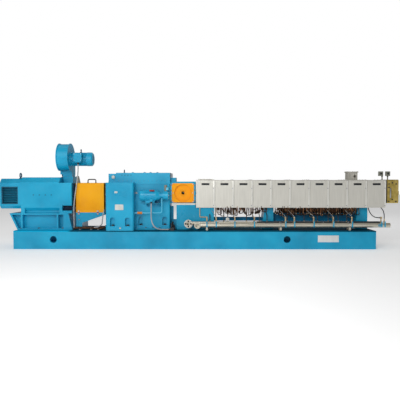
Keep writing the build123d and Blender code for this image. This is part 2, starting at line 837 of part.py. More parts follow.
with BuildPart() as coupling_speed_sensor:
    sensor_length, sensor_depth, sensor_height = sensor_box_size
    sensor_left = guard_x + sensor_box_place[0]
    prism([(sensor_left, guard_top), (sensor_left + sensor_length, guard_top),
           (sensor_left + sensor_box_head, guard_top + sensor_height),
           (sensor_left, guard_top + sensor_height)],
          face_plane(front, guard_half_depth - sensor_box_place[1]), -sensor_depth)
coupling_speed_sensor.part.label = "coupling_speed_sensor"
export_step(coupling_speed_sensor.part, "parts/coupling_speed_sensor.step")

# Guard bracket: a leg, a shelf and triangular gussets
with BuildPart() as guard_bracket:
    bracket_end = guard_end + bracket_overhang
    leg_right = guard_x + bracket_leg_width
    gusset_foot = guard_bottom - bracket_gusset_rise
    gusset_tip = guard_bottom - bracket_gusset_end
    foot_border, tip_border = bracket_gusset_border
    prism([(guard_x, base_height), (leg_right, base_height), (leg_right, gusset_foot - foot_border),
           (bracket_end, gusset_tip), (bracket_end, guard_bottom), (guard_x, guard_bottom)],
          face_plane(rear, guard_half_depth), 2 * guard_half_depth)
    inner = guard_half_depth - bracket_plate
    prism([(guard_x + bracket_plate, base_height), (leg_right - bracket_plate, base_height),
           (leg_right - bracket_plate, gusset_foot), (bracket_end, gusset_tip - tip_border),
           (bracket_end, guard_bottom - bracket_plate),
           (guard_x + bracket_plate, guard_bottom - bracket_plate)],
          face_plane(rear, inner), 2 * inner, Mode.SUBTRACT)
guard_bracket.part.label = "guard_bracket"
export_step(guard_bracket.part, "parts/guard_bracket.step")

with BuildPart() as guard_latches:
    latch_width, latch_thickness, latch_height = latch_size
    for side in (front, rear):
        for along in latch_places:
            place = (guard_x + along + latch_width / 2, guard_bottom)
            plate(face_plane(side, guard_half_depth), place, latch_width, latch_height,
                  -side * latch_thickness)
            disc(face_plane(side, guard_half_depth + latch_thickness), place, latch_knob_radius,
                 -side * latch_knob_height)
guard_latches.part.label = "guard_latches"
export_step(guard_latches.part, "parts/guard_latches.step")

# Gearbox: wide input housing, narrower output housing, and the lid over both
input_end = input_x + input_length
input_top = motor_axis_height + input_rise
output_length = gearbox_end - input_end
output_centre = (input_end + gearbox_end) / 2


def foot_pocket(x, side, half_depth):
    # An arched recess over a foundation bolt, open at the housing's side.
    straight = pocket_height - pocket_width / 2
    with BuildSketch(face_plane(side, half_depth)) as pocket:
        with Locations((x, base_height + pocket_sill + straight / 2)):
            Rectangle(pocket_width, straight)
        with Locations((x, base_height + pocket_sill + straight)):
            Circle(pocket_width / 2)
    extrude(pocket.sketch, amount=side * pocket_depth, mode=Mode.SUBTRACT)


with BuildPart() as gearbox_input_housing:
    plate(Plane.XY.offset(base_height), ((input_x + input_end) / 2, 0), input_length,
          2 * input_half_depth, input_top - base_height)
    fillet(gearbox_input_housing.edges().filter_by(Axis.Z), radius=input_corner)
    for side in (front, rear):
        for along in input_pocket_places:
            foot_pocket(input_x + along, side, input_half_depth)
        disc(face_plane(side, input_half_depth),
             (input_x + drain_place[0], base_height + drain_place[1]), drain_radius,
             -side * drain_length)
gearbox_input_housing.part.label = "gearbox_input_housing"
export_step(gearbox_input_housing.part, "parts/gearbox_input_housing.step")

with BuildPart() as input_bearing_cover:
    with BuildSketch(Plane.YZ.offset(input_x - seal_thickness)):
        with Locations((0, motor_axis_height - seal_drop)):
            RectangleRounded(2 * seal_half_width, seal_height, seal_corner)
    extrude(amount=seal_thickness)
    disc(Plane.YZ.offset(input_x - seal_thickness), (0, motor_axis_height),
         coupling_shaft_radius + seat_gap, seal_thickness, Mode.SUBTRACT)
input_bearing_cover.part.label = "input_bearing_cover"
export_step(input_bearing_cover.part, "parts/input_bearing_cover.step")

with BuildPart() as gearbox_output_housing:
    plate(Plane.XY.offset(base_height), (output_centre, 0), output_length, 2 * gearbox_half_depth,
          input_top - base_height)
    fillet(gearbox_output_housing.edges().filter_by(Axis.Z).group_by(Axis.X)[-1],
           radius=gearbox_corner)
    plate(Plane.XY.offset(input_top - split_flange_height), (output_centre, 0), output_length,
          2 * (gearbox_half_depth + split_flange_lip), split_flange_height)
    plate(Plane.XY.offset(base_height), (output_centre, 0), output_length,
          2 * (gearbox_half_depth + gearbox_foot_lip), gearbox_foot_height)
    for side in (front, rear):
        for along in output_pocket_places:
            foot_pocket(input_end + along, side, gearbox_half_depth)
gearbox_output_housing.part.label = "gearbox_output_housing"
export_step(gearbox_output_housing.part, "parts/gearbox_output_housing.step")

with BuildPart() as gearbox_lid:
    lid_x = input_x + lid_inset
    step_x = input_x + lid_step
    low_top, lid_top = [input_top + height for height in lid_heights]
    prism([(lid_x, input_top), (gearbox_end, input_top), (gearbox_end, lid_top), (step_x, lid_top),
           (step_x, low_top), (lid_x, low_top)],
          face_plane(rear, gearbox_half_depth), 2 * gearbox_half_depth)
    fillet(gearbox_lid.edges().filter_by(Axis.X).group_by(Axis.Z)[-1], radius=lid_corner)
    plate(Plane.XY.offset(input_top), ((lid_x + gearbox_end) / 2, 0), gearbox_end - lid_x,
          2 * (gearbox_half_depth + split_flange_lip), split_flange_height)
    for side in (front, rear):
        disc(face_plane(side, gearbox_half_depth),
             (input_x + breather_place[0], input_top + breather_place[1]), breather_radius,
             -side * breather_length)
gearbox_lid.part.label = "gearbox_lid"
export_step(gearbox_lid.part, "parts/gearbox_lid.step")

# Eyebolts: two at opposite corners of the motor, one on the blower motor, one on the gearbox
eye_left, eye_right = motor_eye_places
eye_y = motor_half_width - motor_eye_inset
eyes = [
    lifting_eye(motor_x - eye_left, -eye_y, motor_top - rear_shield_inset, motor_eye),
    lifting_eye(motor_end - eye_right, eye_y, motor_top, motor_eye),
    lifting_eye(blower_motor_x + blower_eye_place, blower_y,
                blower_axis_height + blower_fin_radius + seat_gap, small_eye),
    lifting_eye(input_x + gearbox_eye_place, 0, lid_top, small_eye),
]
with BuildPart() as lifting_eyes:
    add(eyes)
lifting_eyes.part.label = "lifting_eyes"
export_step(lifting_eyes.part, "parts/lifting_eyes.step")

# Lantern with its cap, guards, switch, seat and stand
lantern_length = lantern_end - gearbox_end
lantern_centre = (lantern_end + gearbox_end) / 2
lantern_bottom = screw_axis_height - lantern_drop
lantern_top = screw_axis_height + lantern_rise
cap_top = screw_axis_height + lantern_cap_rise
window_width = lantern_length - 2 * lantern_end_wall
window_height = lantern_top - lantern_head - lantern_bottom - lantern_sill
window_centre = (lantern_centre, (lantern_top - lantern_head + lantern_bottom + lantern_sill) / 2)
screw_places = (-screw_spacing / 2, screw_spacing / 2)


def lantern_window(side, distance, gap, amount, mode=Mode.ADD):
    with BuildSketch(face_plane(side, distance)) as window:
        with Locations(window_centre):
            RectangleRounded(window_width - 2 * gap, window_height - 2 * gap, lantern_window_corner)
    extrude(window.sketch, amount=amount, mode=mode)


with BuildPart() as lantern:
    plate(Plane.YZ.offset(gearbox_end), (0, (lantern_bottom + lantern_top) / 2),
          2 * lantern_half_depth, lantern_top - lantern_bottom, lantern_length)
    chamfer(lantern.edges().filter_by(Axis.X), length=lantern_chamfer)
    lantern_window(rear, lantern_half_depth, 0, 2 * lantern_half_depth, Mode.SUBTRACT)
    plate(Plane.XY.offset(lantern_top), (gearbox_end + lantern_cap_length / 2, 0),
          lantern_cap_length, 2 * lantern_cap_half_depth, cap_top - lantern_top)
    for y in screw_places:
        disc(Plane.YZ.offset(gearbox_end), (y, screw_axis_height),
             screw_shaft_radius + shaft_hole_gap, lantern_length, Mode.SUBTRACT)
lantern.part.label = "lantern"
export_step(lantern.part, "parts/lantern.step")

with BuildPart() as lantern_guards:
    dish = (lantern_centre, screw_axis_height)
    for side in (front, rear):
        lantern_window(side, lantern_half_depth, seat_gap, side * lantern_guard_thickness)
        inner_face = face_plane(side, lantern_half_depth - lantern_guard_thickness)
        disc(inner_face, dish, lantern_dish_radius + lantern_guard_thickness,
             side * lantern_dish_depth)
        disc(face_plane(side, lantern_half_depth), dish, lantern_dish_radius,
             side * lantern_dish_depth, Mode.SUBTRACT)
        disc(face_plane(side, lantern_half_depth), dish, lantern_eye_radius,
             side * 2 * lantern_dish_depth, Mode.SUBTRACT)
lantern_guards.part.label = "lantern_guards"
export_step(lantern_guards.part, "parts/lantern_guards.step")

with BuildPart() as lantern_switch:
    switch_length, switch_depth, switch_height = switch_size
    plate(Plane.XY.offset(cap_top),
          (gearbox_end + switch_inset + switch_length / 2, -lantern_cap_half_depth + switch_depth / 2),
          switch_length, switch_depth, switch_height)
lantern_switch.part.label = "lantern_switch"
export_step(lantern_switch.part, "parts/lantern_switch.step")

with BuildPart() as lantern_seat:
    left, right = lantern_seat_x
    plate(Plane.XY.offset(lantern_bottom - lantern_seat_thickness), ((left + right) / 2, 0),
          right - left, 2 * lantern_seat_half_depth, lantern_seat_thickness)
lantern_seat.part.label = "lantern_seat"
export_step(lantern_seat.part, "parts/lantern_seat.step")

barrel_underside = screw_axis_height - barrel_flange_half
with BuildPart() as lantern_stand:
    left, right = lantern_stand_x
    step = screw_axis_height - lantern_stand_step
    seat_underside = lantern_bottom - lantern_seat_thickness
    prism([(left, base_height), (right, base_height), (right, step), (lantern_end, step),
           (lantern_end, seat_underside), (left, seat_underside)],
          face_plane(rear, lantern_stand_half_depth), 2 * lantern_stand_half_depth)
    fillet(lantern_stand.edges().filter_by(Axis.Z), radius=lantern_stand_corner)
    plate(Plane.XY.offset(step), (barrel_x + barrel_flange_thickness / 2, 0),
          barrel_flange_thickness, 2 * barrel_stand_neck_half_depth, barrel_underside - step)
lantern_stand.part.label = "lantern_stand"
export_step(lantern_stand.part, "parts/lantern_stand.step")


# Barrel sections: chamfered blocks with a square flange at each end and the bore of both screws
def barrel_start(number):
    return barrel_x + number * barrel_pitch


throat = (barrel_start(feed_barrel_number) + barrel_pitch / 2, 0)
vent_centre = (barrel_start(vent_barrel_number) + vent_place, 0)
barrel_top = screw_axis_height + barrel_body_half
barrel_end = barrel_start(barrel_count)
ported = (feed_barrel_number, vent_barrel_number)
unported = [number for number in range(barrel_count) if number not in ported]


def chamfered_block(start, half, length):
    with BuildSketch(Plane.YZ.offset(start)) as block:
        with Locations((0, screw_axis_height)):
            Rectangle(2 * half, 2 * half)
        chamfer(block.vertices(), length=barrel_chamfer)
    extrude(block.sketch, amount=length)


def barrel_module(number):
    start = barrel_start(number)
    length = barrel_pitch - barrel_joint_gap
    with BuildPart() as module:
        chamfered_block(start, barrel_body_half, length)
        chamfered_block(start, barrel_flange_half, barrel_flange_thickness)
        chamfered_block(start + length - barrel_flange_thickness, barrel_flange_half,
                        barrel_flange_thickness)
        for y in screw_places:
            disc(Plane.YZ.offset(start), (y, screw_axis_height), screw_radius + screw_bore_gap,
                 length, Mode.SUBTRACT)
        if number == feed_barrel_number:
            plate(Plane.XY.offset(screw_axis_height), throat, *feed_opening, 2 * barrel_body_half,
                  Mode.SUBTRACT)
        if number == vent_barrel_number:
            plate(Plane.XY.offset(screw_axis_height), vent_centre, *vent_throat,
                  2 * barrel_body_half, Mode.SUBTRACT)
    return module.part


with BuildPart() as barrel_modules:
    add([barrel_module(number) for number in unported])
barrel_modules.part.label = "barrel_modules"
export_step(barrel_modules.part, "parts/barrel_modules.step")

feed_barrel = barrel_module(feed_barrel_number)
feed_barrel.label = "feed_barrel"
export_step(feed_barrel, "parts/feed_barrel.step")

vent_barrel = barrel_module(vent_barrel_number)
vent_barrel.label = "vent_barrel"
export_step(vent_barrel, "parts/vent_barrel.step")

# Screws: shafts through the lantern, two-lobed elements under the ports, plain cores between.
# Each flank is an arc about a point on the far side, so that one screw wipes the other clean.
wiping_radius = screw_spacing - screw_wipe_gap
root_radius = wiping_radius - screw_radius
flank_angle = 2 * degrees(acos(wiping_radius / (2 * screw_radius)))
tip_angle = 90 - flank_angle


def polar(radius, angle):
    return Vector(radius * cos(radians(angle)), radius * sin(radians(angle)))


def flank(centre, start, stop):
    outward = (start + stop) / 2 - centre
    ThreePointArc(start, centre + outward.normalized() * wiping_radius, stop)


def screw_profile(plane, turn):
    with BuildSketch(plane) as profile:
        with BuildLine():
            for lobe in (turn, turn + 180):
                tip_start = lobe - tip_angle / 2
                tip_end = lobe + tip_angle / 2
                root_start = tip_end + flank_angle
                root_end = root_start + tip_angle
                ThreePointArc(polar(screw_radius, tip_start), polar(screw_radius, lobe),
                              polar(screw_radius, tip_end))
                flank(polar(screw_radius, root_start + 180), polar(screw_radius, tip_end),
                      polar(root_radius, root_start))
                ThreePointArc(polar(root_radius, root_start), polar(root_radius, lobe + 90),
                              polar(root_radius, root_end))
                flank(polar(screw_radius, root_end + 180), polar(root_radius, root_end),
                      polar(screw_radius, root_end + flank_angle))
        make_face()
    return profile.sketch


def screw_element(start, y, turn):
    centre = (start, y, screw_axis_height)
    profile = screw_profile(cross_plane(*centre), turn)
    return Solid.extrude_linear_with_rotation(
        profile.faces()[0], center=centre, normal=(screw_element_length, 0, 0),
        angle=360 * screw_element_length / screw_lead)


def screw_core(start, stop, y):
    with BuildPart() as core:
        disc(Plane.YZ.offset(start), (y, screw_axis_height), screw_shaft_radius, stop - start)
    return core.part


element_starts = [centre[0] - screw_element_length / 2 for centre in (throat, vent_centre)]
core_starts = [gearbox_end] + [start + screw_element_length for start in element_starts]
core_stops = element_starts + [barrel_end - screw_end_gap]
screws = []
for y, turn in zip(screw_places, (0, 90)):
    screws += [screw_element(start, y, turn) for start in element_starts]
    screws += [screw_core(start, stop, y) for start, stop in zip(core_starts, core_stops)]
with BuildPart() as screw_shafts:
    add(screws)
screw_shafts.part.label = "screw_shafts"
export_step(screw_shafts.part, "parts/screw_shafts.step")


# Covers over the barrels
def barrel_cover(number):
    # An inverted trough of sheet over one barrel, standing on the barrel's flanges.
    start = barrel_start(number)
    length = barrel_pitch - cover_gap
    bottom = screw_axis_height - cover_drop
    top = screw_axis_height + cover_rise
    strip = start + length - cover_strip_width
    spacer_foot = screw_axis_height + barrel_flange_half
    with BuildPart() as cover:
        extrude(hood_section(Plane.YZ.offset(start), cover_half_depth, bottom, top, cover_corner,
                             cover_sheet), amount=length)
        extrude(hood_section(Plane.YZ.offset(strip), cover_half_depth + cover_strip_proud, bottom,
                             top + cover_strip_proud, cover_corner + cover_strip_proud, cover_sheet),
                amount=cover_strip_width)
        for side in (front, rear):
            plate(face_plane(side, cover_half_depth + cover_strip_proud),
                  (start + length / 2, screw_axis_height + grip_slot_rise),
                  grip_slot_width, grip_slot_height, side * 3 * cover_sheet, Mode.SUBTRACT)
        for x in (start + barrel_flange_thickness / 2,
                  start + length - barrel_flange_thickness / 2):
            plate(Plane.XY.offset(spacer_foot), (x, 0), cover_spacer_thickness,
                  cover_spacer_width, top - cover_sheet / 2 - spacer_foot)
        if number == feed_barrel_number:
            plate(Plane.XY.offset(top - 2 * cover_sheet), throat,
                  feed_opening[0] + 2 * (feed_wall + cover_hole_gap),
                  feed_opening[1] + 2 * (feed_wall + cover_hole_gap), 4 * cover_sheet, Mode.SUBTRACT)
        if number == vent_barrel_number:
            plate(Plane.XY.offset(top - 2 * cover_sheet), vent_centre,
                  vent_box[0] + 2 * cover_hole_gap, vent_box[1] + 2 * cover_hole_gap,
                  4 * cover_sheet, Mode.SUBTRACT)
    return cover.part


with BuildPart() as barrel_covers:
    add([barrel_cover(number) for number in unported])
barrel_covers.part.label = "barrel_covers"
export_step(barrel_covers.part, "parts/barrel_covers.step")

feed_barrel_cover = barrel_cover(feed_barrel_number)
feed_barrel_cover.label = "feed_barrel_cover"
export_step(feed_barrel_cover, "parts/feed_barrel_cover.step")

vent_barrel_cover = barrel_cover(vent_barrel_number)
vent_barrel_cover.label = "vent_barrel_cover"
export_step(vent_barrel_cover, "parts/vent_barrel_cover.step")

# Barrel stands: tapered posts with a neck up to the flange joint that they carry
stand_shoulder = screw_axis_height - barrel_stand_drop


def barrel_stand(seam, foot_width, head_width):
    joint = barrel_start(seam)
    right = joint + barrel_stand_neck_width / 2
    with BuildPart() as stand:
        prism([(right - foot_width, base_height), (right, base_height), (right, stand_shoulder),
               (right - head_width, stand_shoulder)],
              face_plane(rear, barrel_stand_half_depth), 2 * barrel_stand_half_depth)
        plate(Plane.XY.offset(stand_shoulder), (joint, 0), barrel_stand_neck_width,
              2 * barrel_stand_neck_half_depth, barrel_underside - stand_shoulder)
    return stand.part


stand_sizes = list(zip(barrel_stand_seams, barrel_stand_foot_width, barrel_stand_head_width))
with BuildPart() as barrel_stands:
    add([barrel_stand(*sizes) for sizes in stand_sizes])
barrel_stands.part.label = "barrel_stands"
export_step(barrel_stands.part, "parts/barrel_stands.step")


# Cable trough, an open channel between one stand and the next
def stand_left_face(seam, foot_width, head_width, height):
    right = barrel_start(seam) + barrel_stand_neck_width / 2
    share = (height - base_height) / (stand_shoulder - base_height)
    return right - foot_width + (foot_width - head_width) * share


trough_starts = (lantern_stand_x[1], barrel_start(barrel_stand_seams[0]) + barrel_stand_neck_width / 2)
with BuildPart() as cable_trough:
    left = trough_y - trough_width / 2
    right = trough_y + trough_width / 2
    for start, sizes, rise, height in zip(trough_starts, stand_sizes, trough_bottoms, trough_heights):
        bottom = base_height + rise
        prism([(left, bottom), (right, bottom), (right, bottom + height),
               (right - trough_wall, bottom + height), (right - trough_wall, bottom + trough_wall),
               (left + trough_wall, bottom + trough_wall), (left + trough_wall, bottom + height),
               (left, bottom + height)],
              Plane.YZ.offset(start), stand_left_face(*sizes, bottom) - start)
cable_trough.part.label = "cable_trough"
export_step(cable_trough.part, "parts/cable_trough.step")

# Cooling water pipes
supply_height = base_height + supply_rise
return_height = base_height + return_rise


def pipe_legs(y, height):
    for x in pipe_leg_places:
        plate(Plane.XY.offset(base_height), (x, y), pipe_leg_width, pipe_leg_width,
              height - base_height)


with BuildPart() as water_supply_manifold:
    left, right = supply_x
    mouth = (left, supply_height)
    disc(Plane.YZ.offset(left - supply_radius), (supply_y, supply_height), supply_radius,
         right - left + supply_radius)
    disc(Plane.XZ.offset(-supply_y), mouth, supply_radius, supply_reach)
    disc(Plane.XZ.offset(-supply_y + supply_reach), mouth, supply_inlet_radius,
         pipe_flange_thickness)
    disc(Plane.XZ.offset(-supply_y), mouth, supply_radius - pipe_wall,
         supply_reach + pipe_flange_thickness, Mode.SUBTRACT)
    pipe_legs(supply_y, supply_height)
water_supply_manifold.part.label = "water_supply_manifold"
export_step(water_supply_manifold.part, "parts/water_supply_manifold.step")

with BuildPart() as water_return_manifold:
    left, right = return_x
    mouth = (left, return_height)
    disc(Plane.YZ.offset(left - return_radius), (return_y, return_height), return_radius,
         right - left + return_radius)
    disc(Plane.XZ.offset(-return_y), mouth, return_radius, return_reach)
    disc(Plane.XZ.offset(-return_y + return_reach), mouth, return_flange_radius,
         pipe_flange_thickness)
    disc(Plane.XZ.offset(-return_y), mouth, return_radius - pipe_wall,
         return_reach + pipe_flange_thickness, Mode.SUBTRACT)
    with BuildSketch(Plane.XZ.offset(-return_y + return_reach)) as bolts:
        with Locations(mouth):
            with PolarLocations(return_bolt_circle, return_bolt_count, start_angle=45):
                Circle(return_bolt_radius)
    extrude(bolts.sketch, amount=pipe_flange_thickness, mode=Mode.SUBTRACT)
    pipe_legs(return_y, return_height)
water_return_manifold.part.label = "water_return_manifold"
export_step(water_return_manifold.part, "parts/water_return_manifold.step")

valve_bottom = supply_height + supply_radius
valve_top = valve_bottom + valve_height
with BuildPart() as branch_valves:
    valve_middle = valve_bottom + valve_height / 2
    lever_face = supply_radius + valve_lever_gap - supply_y
    lever_middle = valve_middle + valve_lever_width / 2 - valve_lever_drop / 2
    for x in branch_places + hose_places:
        disc(Plane.XY.offset(valve_bottom), (x, supply_y), valve_radius, valve_height)
        disc(Plane.XZ.offset(-supply_y), (x, valve_middle), valve_stem_radius, lever_face + supply_y)
        plate(Plane.XZ.offset(lever_face), (x, lever_middle), valve_lever_width, valve_lever_drop,
              valve_lever_thickness)
branch_valves.part.label = "branch_valves"
export_step(branch_valves.part, "parts/branch_valves.step")


def barrel_underside_at(x):
    # The flanges reach lower than the barrel between them.
    from_joint = abs((x - barrel_x + barrel_pitch / 2) % barrel_pitch - barrel_pitch / 2)
    reach = barrel_flange_thickness + branch_radius
    half = barrel_flange_half if from_joint < reach else barrel_body_half
    return screw_axis_height - half


def elbow(x, y, z):
    with Locations((x, y, z)):
        Box(2 * branch_elbow_radius, 2 * branch_elbow_radius, 2 * branch_elbow_radius)


with BuildPart() as branch_tubes:
    elbow_height = base_height + branch_elbow_rise
    for x in branch_places:
        disc(Plane.XY.offset(valve_top), (x, supply_y), branch_radius, elbow_height - valve_top)
        elbow(x, supply_y, elbow_height)
    for x in branch_places[1:]:
        disc(Plane.XZ.offset(-branch_rear_y), (x, elbow_height), branch_radius,
             branch_rear_y - supply_y)
        elbow(x, branch_rear_y, elbow_height)
        disc(Plane.XY.offset(elbow_height), (x, branch_rear_y), branch_radius,
             barrel_underside_at(x) - elbow_height)
    # The first branch runs along the stand's face and up inside the first cover.
    first = branch_places[0]
    inlet_height = screw_axis_height - first_branch_inlet
    disc(Plane.XZ.offset(-first_branch_y), (first, elbow_height), first_branch_radius,
         first_branch_y - supply_y)
    disc(Plane.YZ.offset(first_branch_x), (first_branch_y, elbow_height), first_branch_radius,
         first - first_branch_x)
    disc(Plane.XY.offset(elbow_height), (first_branch_x, first_branch_y), first_branch_radius,
         inlet_height - elbow_height)
    disc(Plane.XZ.offset(barrel_body_half), (first_branch_x, inlet_height), first_branch_radius,
         -first_branch_y - barrel_body_half)
branch_tubes.part.label = "branch_tubes"
export_step(branch_tubes.part, "parts/branch_tubes.step")

# Feed throat and vent on top of the barrels
cover_top = screw_axis_height + cover_rise
with BuildPart() as feed_inlet:
    length, width = feed_opening
    flange_base = cover_top + cover_strip_proud + feed_rise
    plate(Plane.XY.offset(barrel_top), throat, length + 2 * feed_wall, width + 2 * feed_wall,
          flange_base - barrel_top)
    plate(Plane.XY.offset(flange_base), throat, length + 2 * feed_flange_lip,
          width + 2 * feed_flange_lip, feed_flange_thickness)
    plate(Plane.XY.offset(barrel_top), throat, length, width,
          flange_base + feed_flange_thickness - barrel_top, Mode.SUBTRACT)
    bolt_x = length / 2 + feed_flange_lip - feed_bolt_edge
    bolt_y = width / 2 + feed_flange_lip - feed_bolt_edge
    for x in (-bolt_x, bolt_x):
        for y in (-bolt_y, bolt_y):
            disc(Plane.XY.offset(flange_base), (throat[0] + x, y), feed_bolt_radius,
                 feed_flange_thickness, Mode.SUBTRACT)
feed_inlet.part.label = "feed_inlet"
export_step(feed_inlet.part, "parts/feed_inlet.step")

with BuildPart() as vent_port:
    length, width = vent_box
    vent_top = screw_axis_height + vent_rise
    flange_base = vent_top - vent_flange_thickness
    side_port = (vent_centre[0] + vent_side_port_place, (cover_top + flange_base) / 2)
    plate(Plane.XY.offset(barrel_top), vent_centre, length, width, vent_top - barrel_top)
    plate(Plane.XY.offset(flange_base), vent_centre, length + 2 * vent_flange_lip,
          width + 2 * vent_flange_lip, vent_flange_thickness)
    disc(Plane.XZ.offset(width / 2), side_port, vent_side_port_radius + vent_side_port_rim,
         vent_side_port_rim)
    plate(Plane.XY.offset(barrel_top), vent_centre, length - 2 * vent_wall, width - 2 * vent_wall,
          vent_top - barrel_top, Mode.SUBTRACT)
    disc(Plane.XZ, side_port, vent_side_port_radius, width, Mode.SUBTRACT)
vent_port.part.label = "vent_port"
export_step(vent_port.part, "parts/vent_port.step")

# Die, with the lip that its strand holes end in
die_x = barrel_end + adapter_thickness
die_top = screw_axis_height + die_rise
with BuildPart() as die_adapter:
    chamfered_block(barrel_end, adapter_half, adapter_thickness)
die_adapter.part.label = "die_adapter"
export_step(die_adapter.part, "parts/die_adapter.step")

with BuildPart() as die_body:
    with BuildSketch(Plane.YZ.offset(die_x)) as face:
        with Locations((0, screw_axis_height + (die_rise - die_drop) / 2)):
            Rectangle(2 * die_half_depth, die_rise + die_drop)
        chamfer(face.vertices(), length=die_chamfer)
    extrude(amount=die_length)
    plate(Plane.YZ.offset(die_x + die_length), (0, screw_axis_height), 2 * die_lip_half_width,
          2 * die_lip_half_height, die_lip_length)
    chamfer(die_body.faces().sort_by(Axis.X)[-1].edges(), length=die_lip_chamfer)
    for side in (front, rear):
        plate(face_plane(side, die_half_depth),
              (die_x + die_slot_inset + die_slot_width / 2, screw_axis_height), die_slot_width,
              die_slot_height, side * die_slot_depth, Mode.SUBTRACT)
die_body.part.label = "die_body"
export_step(die_body.part, "parts/die_body.step")

# Melt sensors on the adapter and the die
with BuildPart() as melt_sensors:
    head_foot = screw_axis_height + sensor_head_bottom
    bases = (screw_axis_height + adapter_half, die_top)
    for along, base, shift in zip(sensor_places, bases, sensor_head_shifts):
        x = barrel_end + along
        disc(Plane.XY.offset(base), (x, 0), sensor_stem_radius, head_foot - base)
        plate(Plane.XY.offset(head_foot), (x + shift, 0), sensor_head_length, sensor_head_width,
              sensor_head_height)
melt_sensors.part.label = "melt_sensors"
export_step(melt_sensors.part, "parts/melt_sensors.step")

# Lubrication unit: bracket, motor, pump, filter and pipes
lube_y = -(gearbox_half_depth + lube_standoff)
lube_body_x = lube_motor_x + lube_cowl_length
lube_bell_x = lube_body_x + lube_body_length
lube_pump_x = lube_bell_x + lube_bell_length
lube_shelf_top = lube_axis_height - lube_fin_radius - lube_foot_height
with BuildPart() as lube_bracket:
    left, right = lube_bracket_x
    underside = lube_shelf_top - lube_bracket_thickness
    wall = -gearbox_half_depth
    plate(Plane.XY.offset(underside), ((left + right) / 2, wall - lube_bracket_reach / 2),
          right - left, lube_bracket_reach, lube_bracket_thickness)
    for start in (left, right - lube_bracket_thickness):
        prism([(wall, underside), (wall, underside - lube_bracket_drop),
               (wall - lube_bracket_toe, underside - lube_bracket_drop),
               (wall - lube_bracket_reach, underside)],
              Plane.YZ.offset(start), lube_bracket_thickness)
lube_bracket.part.label = "lube_bracket"
export_step(lube_bracket.part, "parts/lube_bracket.step")

lube_entry_x, lube_entry_y = lube_entry_place
lube_entry_height = lube_axis_height - lube_entry_drop
with BuildPart() as lube_motor:
    lube_core = lube_fin_radius - lube_fin_height
    lube_axis = Axis((0, lube_y, lube_axis_height), (1, 0, 0))
    disc(Plane.YZ.offset(lube_body_x), (lube_y, lube_axis_height), lube_core, lube_body_length)
    with Locations(Location((lube_body_x + lube_body_length / 2, lube_y, lube_axis_height),
                            (0, 90, 0))):
        with PolarLocations(lube_core, lube_fin_count):
            Box(2 * lube_fin_height, lube_fin_thickness, lube_body_length)
    with BuildSketch(Plane.XZ.offset(-lube_y)):
        with BuildLine():
            cowl_edge = lube_axis_height + lube_motor_radius
            corner = lube_cowl_round * (1 - cos(radians(45)))
            Polyline((lube_body_x, lube_axis_height), (lube_body_x, cowl_edge),
                     (lube_motor_x + lube_cowl_round, cowl_edge))
            ThreePointArc((lube_motor_x + lube_cowl_round, cowl_edge),
                          (lube_motor_x + corner, cowl_edge - corner),
                          (lube_motor_x, cowl_edge - lube_cowl_round))
            Polyline((lube_motor_x, cowl_edge - lube_cowl_round), (lube_motor_x, lube_axis_height),
                     (lube_body_x, lube_axis_height))
        make_face()
    revolve(axis=lube_axis)
    with BuildSketch(Plane.XZ.offset(-lube_y)):
        with BuildLine():
            bell_foot = lube_axis_height + lube_pump_radius
            Polyline((lube_bell_x, lube_axis_height), (lube_bell_x, cowl_edge),
                     (lube_bell_x + lube_bell_rim, cowl_edge),
                     (lube_pump_x - lube_bell_collar, bell_foot), (lube_pump_x, bell_foot),
                     (lube_pump_x, lube_axis_height), close=True)
        make_face()
    revolve(axis=lube_axis)
    plate(Plane.XY.offset(lube_shelf_top), (lube_body_x + lube_body_length / 2, lube_y + lube_foot_shift),
          lube_body_length - 2 * lube_foot_inset, lube_foot_width,
          lube_foot_height + 2 * lube_fin_height)
    length, width, height = lube_entry_size
    plate(Plane.XY.offset(lube_entry_height), (lube_entry_x, lube_entry_y), length, width, height)
lube_motor.part.label = "lube_motor"
export_step(lube_motor.part, "parts/lube_motor.step")

pump_head_x = lube_pump_x + lube_pump_neck
filter_x = lube_pump_x + (lube_pump_neck + lube_pump_length) / 2
filter_seat = lube_axis_height + lube_pump_radius + lube_filter_foot
with BuildPart() as lube_pump:
    disc(Plane.YZ.offset(lube_pump_x), (lube_y, lube_axis_height), lube_neck_radius,
         lube_pump_neck)
    disc(Plane.YZ.offset(pump_head_x), (lube_y, lube_axis_height), lube_pump_radius,
         lube_pump_length - lube_pump_neck)
    plate(Plane.XY.offset(lube_axis_height), (filter_x, lube_y), lube_filter_seat, lube_filter_seat,
          filter_seat - lube_axis_height)
lube_pump.part.label = "lube_pump"
export_step(lube_pump.part, "parts/lube_pump.step")

with BuildPart() as lube_filter:
    disc(Plane.XY.offset(filter_seat), (filter_x, lube_y), lube_filter_neck_radius,
         lube_filter_neck)
    disc(Plane.XY.offset(filter_seat + lube_filter_neck), (filter_x, lube_y), lube_filter_radius,
         lube_filter_height - lube_filter_neck)
    chamfer(lube_filter.faces().sort_by(Axis.Z)[-1].edges(), length=lube_filter_chamfer)
lube_filter.part.label = "lube_filter"
export_step(lube_filter.part, "parts/lube_filter.step")

with BuildPart() as lube_pipes:
    pipe_top = lube_axis_height - lube_neck_radius - seat_gap
    pipe_low = lube_axis_height - lube_pipe_drop
    with BuildLine() as pipe_route:
        FilletPolyline((lube_pipe_x, lube_y, pipe_top), (lube_pipe_x, lube_y, pipe_low),
                       (input_end, lube_y, pipe_low), radius=lube_pipe_bend)
    with BuildSketch(Plane(origin=(lube_pipe_x, lube_y, pipe_top), z_dir=(0, 0, -1))):
        Circle(lube_pipe_radius)
    sweep(path=pipe_route.line)
    left, right = lube_valve_x
    disc(Plane.YZ.offset(left), (lube_y, pipe_low), lube_valve_radius, right - left)
lube_pipes.part.label = "lube_pipes"
export_step(lube_pipes.part, "parts/lube_pipes.step")

